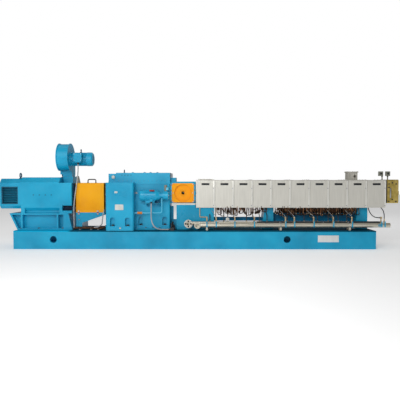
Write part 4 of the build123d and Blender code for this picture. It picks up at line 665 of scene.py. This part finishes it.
def sheetForm(form, outline, y, thickness):
    # A flat outline of (x, z) points, thickened towards the operator
    near = [form.verts.new(Vector((x, y - thickness, z)) * mm) for x, z in outline]
    far = [form.verts.new(Vector((x, y, z)) * mm) for x, z in outline]
    made = [form.faces.new(near), form.faces.new(list(reversed(far)))]
    for number in range(len(outline)):
        following = (number + 1) % len(outline)
        made.append(form.faces.new((near[number], far[number], far[following], near[following])))
    bmesh.ops.recalc_face_normals(form, faces=made)


def builtPiece(name, material, forms, slot=None):
    # Each form names its maker and then what that takes after the open bmesh
    form = bmesh.new()
    for make, *sizes in forms:
        make(form, *sizes)
    return shownPiece(name, form, material)


ahead, upward, downward = Vector((0, -1, 0)), Vector((0, 0, 1)), Vector((0, 0, -1))
toDie, toMotor, rearward = Vector((1, 0, 0)), Vector((-1, 0, 0)), -ahead
bothSides = (-1, 1)

# Places, depths and heights that several pieces share, in millimetres
branchPlaces = [245, 429, 795, 1181, 1795, 1969, 2350, 2736, 3102]
hosePlaces = [3676, 3740]
screwAxis, deckTop, elbowHeight = 1095, 360, 612
supplyY, supplyZ, returnY, returnZ = -450, 464, -335, 492
coverStart, coverPitch, coverCount = 30, 380, 10
coverStarts = [coverStart + coverPitch * number for number in range(coverCount)]
laggedRows = [(20, 748), (-38, 716), (70, 704)]
deckRows = [(-330, 392, 40), (-270, 404, 52), (-205, 388, 34)]
clipPlaces = (-2300, -2080, -1930)
barrel = {"flange": 57, "flangeBottom": 935, "bottom": 970}


def underside(x):
    # The barrels' flanges reach lower than what lies between them
    fromJoint = abs((x - coverStart + coverPitch / 2) % coverPitch - coverPitch / 2)
    return barrel["flangeBottom"] if fromJoint < barrel["flange"] else barrel["bottom"]


# Eyebolts and the guard's handle, round where the frame has plain solids
motorEye = {"ring": 42, "wire": 12, "collar": 34, "height": 16}
smallEye = {"ring": 24, "wire": 8, "collar": 22, "height": 12}
eyePlaces = [((-3515, -209, 1384), motorEye), ((-2783, 209, 1410), motorEye),
             ((-2316, -100, 1914.3), smallEye), ((-1452, 0, 1501), smallEye)]
handle = {"radius": 11, "bend": 28, "sides": 18,
          "foot": [(0, 0), (19, 0), (19, 5), (14, 9), (11.2, 9), (11.2, 0.5)]}


def eyebolt(form, place, ring, wire, collar, height):
    profile = [(0, 0), (collar, 0), (collar, height * 0.55), (collar * 0.8, height * 0.8),
               (wire * 1.25, height), (wire * 1.1, height + wire), (0, height + wire)]
    turned(form, profile, place, upward)
    ringAround(form, Vector(place) + upward * (height + ring + wire / 2), toDie, ring, wire)


def guardHandle(plan):
    low, high = [Vector(corner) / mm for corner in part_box("guard_handle")]
    radius = plan["radius"]
    left, right, peak = low.x + radius, high.x - radius, high.z - radius
    route = [(left, 0, low.z), (left, 0, peak), (right, 0, peak), (right, 0, low.z)]
    grip = pipes("guardHandle", [route], radius, plan["bend"], blackPlastic, plan["sides"])
    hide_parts("guard_handle")
    builtPiece("handleFeet", blackPlastic,
               [(turned, plan["foot"], (x, 0, low.z), upward) for x in (left, right)])


eyes = builtPiece("eyebolts", louvreBlue, [(eyebolt, place, *kind.values()) for place, kind in eyePlaces])
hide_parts("lifting_eyes")
guardHandle(handle)
print("eyebolts and handle turned")


# Screws, bolts, and thin dark discs that are painted shade in small round holes and recesses
def grid(xs, ys, zs, facing):
    return [((x, y, z), facing) for x in xs for y in ys for z in zs]


def ringSpots(centre, circles, facing, offset=0.0):
    # Evenly round a centre, on circles of a radius and a count, square to the way they face
    across = toDie if facing.y else rearward
    spots = []
    for radius, count in circles:
        for turn in (2 * math.pi * (number + offset) / count for number in range(count)):
            outward = across * math.cos(turn) + upward * math.sin(turn)
            spots.append((Vector(centre) + outward * radius, facing))
    return spots


motorSide, gearboxPads = (-3217, -3097, -2978, -2859), (-1604, -1310)
dieSide = ((3906, 1277), (3906, 925), (4050, 1277), (4050, 925), (3975, 965), (3975, 1300))
lanternJambs = [((x, side * 250, z), side * rearward) for x in (-477, 3) for side in bothSides
                for z in (935, 1040, 1150, 1255)]
lanternCorners = [((x, side * 250, z), side * rearward) for x in (-440, -34) for z in (922, 1274)
                  for side in bothSides]
lanternHinges = [((x, side * 250, screwAxis), side * rearward) for x in (-41, -433) for side in bothSides]
coverSpots = []
for start in coverStarts:
    coverSpots += grid([start + 349], (-262, -90, 90, 262), [1361], upward)
    coverSpots += [((start + 349, side * 304, z), side * rearward) for side in bothSides
                   for z in (845, 1190)]

# Each set has its places, its size, its finish and, when it isn't hexagonal, its sides
fastenerSets = {
    "lidScrews": (grid((-1455, -1395, -1335, -1274), [-290], [1451], ahead), (8, 7, 10), louvreBlue, 16),
    "motorScrews": (grid(motorSide, [-350], [1058], ahead) + grid(motorSide, [350], [1058], rearward),
                    (9, 6, 12), louvreBlue),
    "standBolts": (grid((-3470, -3120, -2640), (-330, 330), [388], upward), (19, 15, 28), barrelSteel),
    "gearboxBolts": (grid(gearboxPads, (-506, 506), [452], upward)
                     + grid((-1081, -599), (-256, 256), [452], upward), (25, 26, 34), blackPlastic),
    "gearboxFootBolts": (grid((-980, -840, -700), (-314, 314), [400], upward), (14, 11, 19), barrelSteel),
    "splitLineBolts": (grid(range(-1690, -500, 85), (-297, 297), [1335], upward), (6.5, 6, 6.8),
                       barrelSteel),
    "lanternBolts": (lanternJambs, (9.5, 8, 13), barrelSteel),
    "lanternGuardScrews": (lanternCorners + lanternHinges, (7, 4, 10), brightSteel, 16),
    "coverScrews": (coverSpots, (8, 5, 11), brightSteel, 16),
    "ventBolts": (grid((3122, 3220, 3318), (-89, 89), [1528], upward)
                  + grid((3121, 3319), [0], [1528], upward), (7, 6, 8), barrelSteel),
    "dieBolts": ([((x, side * 235, z), side * rearward) for side in bothSides for x, z in dieSide],
                 (12, 8, 15), blackPlastic, 12),
    "dieFaceBolts": (grid([4100], (-195, -65, 65, 195), (975, 1215), toDie), (14, 11, 18),
                     blackPlastic, 12),
    "fanFlangeBolts": (ringSpots((-2503, -100, 1778), [(138, 8)], toDie, 0.5), (6, 5, 8), brightSteel),
    "pumpBolts": (ringSpots((-516, -420, 1050), [(64, 6)], toDie), (6.5, 6, 8), brightSteel),
    "fanSeatBolts": (grid((-2686, -2600, -2507), (-73, 221), [1424], upward), (7, 6, 9), brightSteel),
    "weldCollars": (grid(branchPlaces + hosePlaces, [supplyY], [505], upward), (18, 5, 24), pipeSteel, 16),
    # Thin dark discs on the flange face: painted shade of four recesses
    "flangePockets": (ringSpots((-121, -487, 492), [(52, 4)], ahead), (18, 0.8, 18), louvreGrey, 16),
    "flangeBolts": (ringSpots((-121, -487, 492), [(62.5, 4)], ahead, 0.5), (12, 8, 15), brightSteel),
    "plateRivets": (grid((-1546, -1398), [-543], (775, 868), ahead), (3, 2, 3.5), brightSteel, 10),
    "drainPlug": ([((-1456, -540, 412), ahead)], (15, 9.4, 23), brassFitting),
    # Thin dark discs: painted shade in the lube motor's and the fan's cowl holes
    "lubeCowlHoles": (ringSpots((-1084, -420, 1050), [(22, 8), (42, 14), (62, 20)], toMotor),
                      (5, 0.8, 5), louvreGrey, 10),
    "fanCowlHoles": (ringSpots((-2065, -100, 1778), [(24, 8), (46, 14), (68, 20)], toDie),
                     (6, 0.8, 6), louvreGrey, 10),
    "terminalScrews": (grid((-2405, -2269), [-320.3], (1750, 1876), ahead), (5, 4, 6.5), brightSteel, 12),
    # Thin dark discs: painted shade in the die's strand holes
    "strandHoles": (grid([4126], range(-169, 170, 26), [screwAxis], toDie), (5, 0.3, 5), louvreGrey, 16),
}
for name, plan in fastenerSets.items():
    fasteners(name, *plan)
print("bolts set")


# Branch valves with hanging blue levers
valve = {
    "foot": 509, "axis": 532,
    "body": [(0, 0), (17, 0), (17, 9), (13, 11), (13, 14), (19, 17), (20, 23), (19, 29), (13, 32),
             (13, 35), (17, 37), (17, 46), (0, 46)],
    "spindle": [(0, 0), (9, 0), (9, 40), (7.5, 41), (7.5, 53), (0, 53)],
    "spindleNut": [(0, 0), (11, 0), (11, 5), (0, 5)],
    "leverFace": -503, "leverSheet": 5.5, "leverTip": 11, "leverTop": 533, "leverEnd": 436,
    "leverWaist": [(8, 500), (11, 486)],
}


def branchValves(plan):
    axis, face, tip, waist = plan["axis"], plan["leverFace"], plan["leverTip"], plan["leverWaist"]
    form = bmesh.new()
    turned(form, plan["body"], (0, supplyY, plan["foot"]), upward, 12)
    turned(form, plan["spindle"], (0, supplyY, axis), ahead, 12)
    turned(form, plan["spindleNut"], (0, face, axis), ahead, 6)
    spots = [(x, 0, 0) for x in branchPlaces + hosePlaces]
    bodies = repeated("valveBodies", form, spots, brassFitting)
    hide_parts("branch_valves")
    halfTurn = [(tip * math.cos(math.pi * step / 8), tip * math.sin(math.pi * step / 8))
                for step in range(9)]
    outline = [(x, plan["leverTop"] + z) for x, z in halfTurn] + [(-x, z) for x, z in waist]
    outline += [(-x, plan["leverEnd"] - z) for x, z in halfTurn] + waist[::-1]
    lever = bmesh.new()
    sheetForm(lever, outline, face, plan["leverSheet"])
    repeated("valveLevers", lever, spots, machineBlue)


# Tubes from the valves to the barrels, with thin steel lines from their elbows
branch = {
    "top": 555, "upperNut": 583, "nutFront": -424, "barrelY": -100, "radius": 10, "bend": 26,
    "firstTube": [(245, -450, 555), (245, -450, 612), (245, -282, 612), (103, -282, 612),
                  (103, -282, 1010), (103, -125, 1010)],
}


def branchTubes(plan):
    inner, rise = plan["barrelY"], elbowHeight
    ends = [(x, inner, underside(x)) for x in branchPlaces[1:]]
    routes = [[(end[0], supplyY, plan["top"]), (end[0], supplyY, rise), (end[0], inner, rise), end]
              for end in ends] + [plan["firstTube"]]
    tubes = pipes("branchTubes", routes, plan["radius"], plan["bend"], brassFitting)
    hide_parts("branch_tubes")
    nuts = grid(branchPlaces, [supplyY], [plan["top"]], upward)
    nuts += grid(branchPlaces, [supplyY], [plan["upperNut"]], upward)
    nuts += [(end, downward) for end in ends]
    nuts += grid(branchPlaces, [plan["nutFront"]], [rise], rearward)
    fasteners("tubeNuts", nuts, (16, 14, 13), brassFitting)


def thinLines():
    lines = []
    for number, x in enumerate(branchPlaces[1:]):
        lean = 86 + 9 * (number % 3)
        end = x - lean - 12
        lines.append([(x, supplyY, elbowHeight + 4), (x - 22, supplyY + 4, elbowHeight + 46),
                      (x - lean, -330, 744), (end, -150, 820), (end, -118, underside(end))])
    return lines


# Coated tubes from the barrels down to the return pipe
returnRun = {
    "places": (330, 560, 690, 1010, 1320, 1420, 1880, 2160, 2480, 2640, 2890, 3010),
    "swing": 26, "top": 780, "knee": 716, "shoulder": 640, "foot": 526, "radius": 8.5, "bend": 48,
}


def returnTubes(plan):
    routes = []
    for number, x in enumerate(plan["places"]):
        side = x + (plan["swing"] if number % 2 else -plan["swing"])
        depth = -150 - 14 * (number % 3)
        routes.append([(x, depth + 46, underside(x)), (x, depth + 46, plan["top"]),
                       (side, depth, plan["knee"] - 9 * (number % 4)),
                       (side, returnY, plan["shoulder"]), (side, returnY, plan["foot"])])
    pipes("returnTubes", routes, plan["radius"], plan["bend"], hoseBlack, 12)
    fasteners("returnNuts", [(route[-1], upward) for route in routes], (14, 16, 16), brassFitting)


# Terminal boxes, valve coils and tube loops in a dense fringe below the covers
fringe = {
    "seed": 21, "bays": ((440, 1366), (1622, 3252)), "top": 806, "front": -262, "loopTop": 830,
    "boxShare": 0.34, "coilShare": 0.68, "copperRadius": 5.5, "darkRadius": 8, "bend": 26,
    "coil": [(0, 0), (16, 0), (18, 3), (18, 44), (16, 47), (0, 47)],
    "coilNut": [(0, 0), (9, 0), (9, 14), (0, 14)],
}


def underCovers(plan):
    boxes, rods, coils, caps, loops = [], [], [], [], []
    top, loopTop = plan["top"], plan["loopTop"]
    draw = random.Random(plan["seed"])
    for left, right in plan["bays"]:
        x = left
        while x < right:
            front = plan["front"] + draw.uniform(-14, 22)
            kind = draw.random()
            if kind < plan["boxShare"]:
                drop = draw.uniform(742, 768)
                boxes.append((block, (x - 24, front, drop), (x + 24, front + 46, top), 3))
                rods.append((block, (x - 5, front + 18, top), (x + 5, front + 24, 1000), 0.8))
            elif kind < plan["coilShare"]:
                drop = draw.uniform(668, 706)
                coils.append((turned, plan["coil"], (x, front, drop), upward, 12))
                coils.append((block, (x - 11, front - 31, drop + 10), (x + 11, front - 14, drop + 34), 1.5))
                caps.append((turned, plan["coilNut"], (x, front, drop - 14), upward, 6))
                loops.append([(x, front, drop + 46), (x, front, top), (x, -140, 850), (x, -120, 955)])
            across = draw.uniform(34, 92)
            low = draw.uniform(640, 752)
            depth = draw.uniform(-300, -215)
            loops.append([(x, depth, loopTop), (x + draw.uniform(-12, 12), depth, low),
                          (x + across, depth + draw.uniform(10, 50), low - draw.uniform(-22, 22)),
                          (x + across, depth + 60, loopTop)])
            x += draw.uniform(26, 44)
    builtPiece("terminalBoxes", heaterBrown, boxes, "barrel_steel")
    builtPiece("boxHangers", barrelSteel, rods)
    builtPiece("valveCoils", heaterBrown, coils)
    builtPiece("coilNuts", brassFitting, caps)
    # Every third loop is bright copper and the others dark copper: lit and shaded copies of one copper,
    # painted highlight and painted shade
    pipes("copperLoops", loops[::3], plan["copperRadius"], plan["bend"], copperTube, 8)
    pipes("darkLoops", loops[1::3] + loops[2::3], plan["darkRadius"], plan["bend"], darkCopper, 8)


branchValves(valve)
branchTubes(branch)
returnTubes(returnRun)
underCovers(fringe)
print("valves, tubes and heater boxes fitted")

# Straight and bent pipes: routes, radius, radius of the bends, finish and sides
pipeRuns = {
    "thinLines": (thinLines(), 4.5, 30, brightSteel, 10),
    "drainRail": ([[(1826, -162, 652), (3040, -162, 652)]], 12, 5, hoseBlack),
    "laggedPipes": ([[(1752, y, z), (3262, y, z)] for y, z in laggedRows], 27, 5, heaterBrown, 20),
    # A dark sleeve round the return pipe, so that it reads dark above the supply pipe
    "returnLagging": ([[(x, returnY, returnZ) for x in (1240, 3688)]], 41, 5, hoseBlack, 24),
    "deckPipes": ([[(-2404, y, z), (-1880, y, z), (-1880 + lean, y, z),
                    (-1790, y + lean * 0.4, z + 30), (-1741, y + lean * 0.4, z + 30)]
                   for y, z, lean in deckRows], 15, 20, darkCopper),
    "sealDrain": ([[(-1800, -360, 768), (-1830, -360, 640), (-1850, -352, 470), (-1916, -344, 420),
                    (-2010, -344, 408)]], 11, 60, brightSteel),
    "deckLinks": ([[(-458, -330, 466), (-458, -330, 476), (-458, -240, 476), (-446, -190, 476),
                    (-446, -190, 505)], [(-404, -372, 404), (-404, -290, 404), (-424, -262, 430)]],
                  9, 14, darkCopper, 10),
}
for name, plan in pipeRuns.items():
    pipes(name, *plan)
print("rigid pipes laid")


def sideBlock(xs, ys, zs, side, edge):
    # A block with depths from the machine's middle, on the operator's side or at the rear
    near, far = sorted(side * y for y in ys)
    return block, (xs[0], near, zs[0]), (xs[1], far, zs[1]), edge


def reach(degrees, facing):
    # The way out from a hub that looks ahead or along the machine
    angle = math.radians(degrees)
    return (toDie if facing.y else rearward) * math.cos(angle) + upward * math.sin(angle)


def fittingProfile(height):
    return [(0, 0), (24, 0), (24, 10), (15, 13), (15, height - 34), (20, height - 30),
            (20, height - 6), (14, height), (0, height)]


# Profiles of turned trim as (radius, along) points, and outlines of sheets as (x, z) points
profile = {
    "stub": [(0, 0), (17, 0), (17, 46), (0, 46)],
    "blindCap": [(0, 0), (34, 0), (36, 3), (36, 13), (33, 16), (16, 17), (14, 24), (0, 25)],
    "elbow": [(0, 0), (15, 0), (15, 20), (12.5, 23), (12.5, 34), (17, 38), (18, 52), (16, 60),
              (11, 66), (0, 67)],
    "elbowNut": [(0, 0), (13, 0), (13, 16), (0, 16)],
    "wheelSpoke": [(0, 0), (4, 0), (4, 29), (0, 29)],
    "wheelHub": [(0, 0), (10, 0), (10, 8), (6, 13), (0, 13)],
    "wheelStem": [(0, 0), (17, 0), (17, 12), (9, 16), (6, 22), (6, 62), (0, 62)],
    "tag": [(0, 0), (20, 0), (20, 3), (16, 4.5), (0, 4.5)],
    "breather": [(0, 0), (36, 0), (36, 6), (31, 8), (31, 20), (34, 22), (34, 30), (26, 36), (0, 36)],
    "levelCap": [(0, 0), (20, 0), (20, 8), (16, 14), (0, 15)],
    "lidCap": [(0, 0), (30, 0), (30, 6), (20, 10), (9, 11), (9, 17), (0, 17)],
    "sleeve": [(25, 2), (27, 2), (27, 16), (25.2, 20), (25.2, 78), (27, 82), (27, 96), (25, 98),
               (24.2, 98), (24.2, 2)],
    "drainStem": [(0, 0), (8, 0), (8, 16), (0, 16)],
    "filterBand": [(0, 0), (31, 0), (31, 4), (30.4, 5), (30.4, 40), (32.5, 42), (32.5, 52),
                   (30.4, 54), (0, 54)],
    "knob": [(0, 0), (13, 0), (14, 4), (11, 9), (6, 11), (0, 11)],
    "pin": [(0, 0), (9, 0), (9, 7), (6, 9), (0, 9)],
    "latchTip": [(0, 0), (10, 0), (10, 8), (5, 13), (0, 13)],
    "grilleSpoke": [(0, 10), (2.4, 10), (2.4, 121), (0, 121)],
    "plug": [(0, 0), (15, 0), (15, 9), (9, 14), (0, 14)],
    "gland": [(0, 0), (18, 0), (18, 12), (13, 16), (0, 16)],
    "splash": [(-494, 362), (-365, 362), (-365, 556), (-434, 556), (-434, 826), (-494, 826)],
}
clampedPipes = ((supplyY, supplyZ, 46.5), (returnY, returnZ, 42))
singleClamps = (((3330, supplyY, supplyZ), 47), ((1420, supplyY, supplyZ), 46.5),
                ((2560, returnY, returnZ), 42))
housingPockets = ((-1604, 540), (-1310, 540), (-1081, 290), (-599, 290))
deckPosts = ((-458, -330, 128), (-424, -262, 96), (-404, -372, 66), (-446, -190, 150))
dishRings = ((170, 2.2, 250), (62, 2.0, 216.5), (40, 3.2, 216.5))

# Trim: each piece has its finish and its forms, and its slot when that isn't the finish's own.
# A block has its corners and bevel, a turned form its profile, foot, way and sides, and a ring
# its middle, way, radius, wire and sides
trimPieces = {
    "seamStrips": (paleSteel, [
        sideBlock((start + 350, start + 370), (303.8, 305.0), (808, 1340), side, 0.3)
        for start in coverStarts for side in bothSides]),
    # Dark sheets behind the covers' grip slots: painted shade inside the covers
    "slotLinings": (louvreGrey, [
        sideBlock((start + 95.5, start + 279.5), (260, 263), (1240, 1308), side, 1)
        for start in coverStarts for side in bothSides]),
    "returnCap": (paleCap, [
        (turned, profile["stub"], (656, -335, 522), upward, 20),
        (turned, profile["blindCap"], (656, -346, 574), ahead, 24)]),
    "laggingBands": (brightSteel, [
        (ringAround, (x, y, z), toDie, 27.5, 2.2, 24, 6)
        for x in range(1800, 3262, 210) for y, z in laggedRows]),
    "riserElbows": (brassFitting, [form for x in branchPlaces for form in (
        (turned, profile["elbow"], (x, supplyY, 566), upward, 12),
        (turned, profile["elbowNut"], (x, supplyY + 16, elbowHeight), rearward, 6))]),
    "pipeClamps": (brightSteel, [
        (ringAround, (x + shift, y, z), toDie, radius, 3.2, 28, 8)
        for x in (245, 1700, 3060) for y, z, radius in clampedPipes for shift in (-9, 9)]
        + [(ringAround, place, toDie, radius, 4, 28, 8) for place, radius in singleClamps]),
    "supplyHandwheel": (machineBlue, [
        (ringAround, (3640, -510, 464), ahead, 30, 5),
        *[(turned, profile["wheelSpoke"], (3640, -510, 464), reach(turn, ahead), 8)
          for turn in (30, 150, 270)],
        (turned, profile["wheelHub"], (3640, -504, 464), ahead, 16)]),
    "handwheelStem": (brassFitting, [(turned, profile["wheelStem"], (3640, -444, 464), ahead, 16)]),
    "bellyPan": (baseBlue, [(block, (-3392, -288, 690.5), (-2702, 288, 741.5), 6)]),
    # Thin near-black sheets on the backs of the motor's and the gearbox's pockets: painted shade
    "pocketLinings": (paintedShadeBlue, [
        (block, (-2642, -283, 745), (-2456, -280.5, 845), 1),
        *[sideBlock((x - 47, x + 47), (y - 68.5, y - 70), (456, 600), side, 0.4)
          for x, y in housingPockets for side in bothSides]]),
    "deckPipeClips": (brightSteel, [
        (block, (x - 12, -352, deckTop), (x + 12, -184, deckTop + 8), 1.5) for x in clipPlaces]
        + [form for x in clipPlaces for y, z, lean in deckRows for form in (
            (ringAround, (x, y, z), toDie, 16.5, 2.5, 20, 6),
            (block, (x - 5, y - 4, deckTop + 6), (x + 5, y + 4, z - 14), 0.8))]),
    "deckFittings": (hoseBlack, [
        (turned, fittingProfile(height), (x, y, deckTop), upward, 12)
        for x, y, height in deckPosts], "black_plastic"),
    "dishRings": (dishShade, [
        (ringAround, (-237, side * face, screwAxis), side * rearward, radius, wire, 40, 6)
        for side in bothSides for radius, wire, face in dishRings]),
    "gearboxPlates": (paleCap, [
        (block, (-1554, -543, 767), (-1390, -539, 876), 1.2),
        *[(turned, profile["tag"], (x, -540, 1116), ahead, 20) for x in (-1544, -1520)]]),
    "breatherCap": (paleCap, [(turned, profile["breather"], (-1626, -290, 1413), ahead, 20)]),
    "levelCap": (paleCap, [(turned, profile["levelCap"], (-1166, -290, 1097), ahead, 20)]),
    "lidCaps": (machineBlue, [
        (turned, profile["lidCap"], (x, -120, 1501), upward, 20) for x in (-1260, -1020, -900, -760)]),
    "castingSeam": (machineBlue, [
        (block, (-1744, -542.4, 438), (-1186, -538, 446), 1),
        (block, (-1704, -541.6, 1262), (-1226, -538, 1268), 0.8)]),
    "lubeTag": (signalRed, [
        (block, (-882, -503.5, 1130), (-786, -499.5, 1166), 1, (math.radians(-46), 0, 0))],
        "sensor_grey"),
    "drainValveHandle": (signalOrange, [
        (turned, profile["sleeve"], (-1134, -420, 704), toDie, 20),
        (turned, profile["drainStem"], (-1084, -444, 704), ahead, 12),
        (block, (-1126, -466, 697), (-1042, -460, 711), 2.5)], "copper_tube"),
    # A near-black strip along the shelf under the lube motor: painted shadow
    "shelfEdge": (paintedShadeBlue, [(block, (-955, -454, 896), (-686, -449, 908), 1.2)]),
    "filterBand": (pipeBlue, [(turned, profile["filterBand"], (-541, -420, 1154), upward, 24)]),
    "latchKnobs": (signalRed, [form for x in (-2337, -1952) for form in (
        (turned, profile["knob"], (x, -270, 702), ahead, 20),
        (turned, profile["pin"], (x, -262, 672), ahead, 16))]),
    "latchTips": (signalOrange, [
        (turned, profile["latchTip"], place, ahead, 16)
        for place in ((-2332, -250, 560), (-1952, -250, 690))]),
    "inletGrille": (blackPlastic, [
        (ringAround, (-2772, -100, 1778), toDie, radius, 2.2, 36, 6) for radius in range(14, 115, 20)]
        + [(turned, profile["grilleSpoke"], (-2770, -100, 1778), reach(turn, toDie), 8)
           for turn in range(15, 375, 60)]),
    "drumSeam": (machineBlue, [(block, (-2745, -380.5, 1776), (-2533, -377, 1780), 0.6)]),
    "basePlate": (blankPlate, [(block, (2414, -550.5, 140), (2823, -545, 272), 0.3)]),
    "sleeveWelds": (baseBlue, [
        (ringAround, (x, side * 547, 190), ahead, 71, 2.8, 40, 8)
        for x in (-2768, 1815) for side in bothSides], "base_blue"),
    "dieSlotPlate": (brightSteel, [(block, (3930, -232, 995), (3954, -226, 1195), 2)]),
    "diePlug": (blackPlastic, [(turned, profile["plug"], (3906, -235, 1205), ahead, 20)]),
    "sensorHeads": (blackPlastic, [form for x, glandX in ((3823, 3853), (3966, 3966)) for form in (
        (block, (x - 22, -34, 1470), (x + 22, -29, 1508), 2),
        (turned, profile["gland"], (glandX, 0, 1424), upward, 6))]),
}
for name, plan in trimPieces.items():
    builtPiece(name, *plan)
splashForm = bmesh.new()
sheetForm(splashForm, profile["splash"], -60, 6)
shownPiece("splashSheet", splashForm, baseBlue, smooth=False)
print("trim fitted")


# Floor, studio light and white surround
studio = {
    "floorTone": (0.90, 0.90, 0.90), "floorGlow": 0.30, "floorSize": 80.0, "target": (0, 0, 0.9),
    "lamps": [
        ("keyLamp", (-1.8, -8.2, 4.0), 3.6, 285.0),
        ("fillLamp", (-7.5, -7.5, 2.5), 5.0, 50.0),
        ("topLamp", (-1.0, 1.0, 8.5), 8.0, 90.0),
        ("backLamp", (2.0, 9.0, 6.0), 6.0, 110.0),
    ],
    "sun": {"turn": (58, 0, -26), "strength": 0.42, "spread": 32},
    "ambient": 0.28,
}


def makeFloor(plan):
    form = bmesh.new()
    bmesh.ops.create_grid(form, x_segments=1, y_segments=1, size=plan["floorSize"] / 2)
    floor = bpy.data.objects.new("floor", meshFrom(form, "floor"))
    floor.data.transform(Matrix.Translation((0, 0, cadBox[0].z)))
    bpy.context.scene.collection.objects.link(floor)
    material, tree, shader, place = startMaterial("floorPale", 0.7)
    pale = plan["floorTone"]
    drift = tonesFrom(tree, noiseField(tree, place, 0.8, 2.0),
                      [(0.3, tuple(c * 0.985 for c in pale)), (0.7, pale)])
    tree.links.new(drift, shader.inputs["Base Color"])
    tree.links.new(drift, shader.inputs["Emission Color"])
    shader.inputs["Emission Strength"].default_value = plan["floorGlow"]
    floor.data.materials.append(material)


def hangLamp(name, kind, power, turn, place=(0, 0, 0)):
    lamp = bpy.data.lights.new(name, kind)
    lamp.energy = power
    holder = bpy.data.objects.new(name, lamp)
    holder.location = place
    holder.rotation_euler = turn
    bpy.context.scene.collection.objects.link(holder)
    return lamp


def makeLamps(plan):
    middle, sun = Vector(plan["target"]), plan["sun"]
    for name, spot, size, power in plan["lamps"]:
        turn = (middle - Vector(spot)).to_track_quat("-Z", "Y").to_euler()
        hangLamp(name, "AREA", power, turn, spot).size = size
    turn = [math.radians(degrees) for degrees in sun["turn"]]
    hangLamp("sun", "SUN", sun["strength"], turn).angle = math.radians(sun["spread"])


def makeSurround(plan):
    # White to the camera and soft light to everything else
    world = bpy.data.worlds.new("surround")
    bpy.context.scene.world = world
    world.use_nodes = True
    tree = world.node_tree
    tree.nodes.clear()
    lighting, seen = [addNode(tree, "ShaderNodeBackground", {"Color": (1, 1, 1, 1), "Strength": power})
                      for power in (plan["ambient"], 1.0)]
    path = tree.nodes.new("ShaderNodeLightPath")
    either = addNode(tree, "ShaderNodeMath", {
        0: path.outputs["Is Camera Ray"], 1: path.outputs["Is Transmission Ray"]}, operation="MAXIMUM")
    choose = addNode(tree, "ShaderNodeMixShader", {
        "Fac": either.outputs["Value"], 1: lighting.outputs["Background"],
        2: seen.outputs["Background"]})
    addNode(tree, "ShaderNodeOutputWorld", {"Surface": choose.outputs["Shader"]})


makeFloor(studio)
makeLamps(studio)
makeSurround(studio)
bpy.context.scene.view_settings.view_transform = "Standard"
print("studio lit")
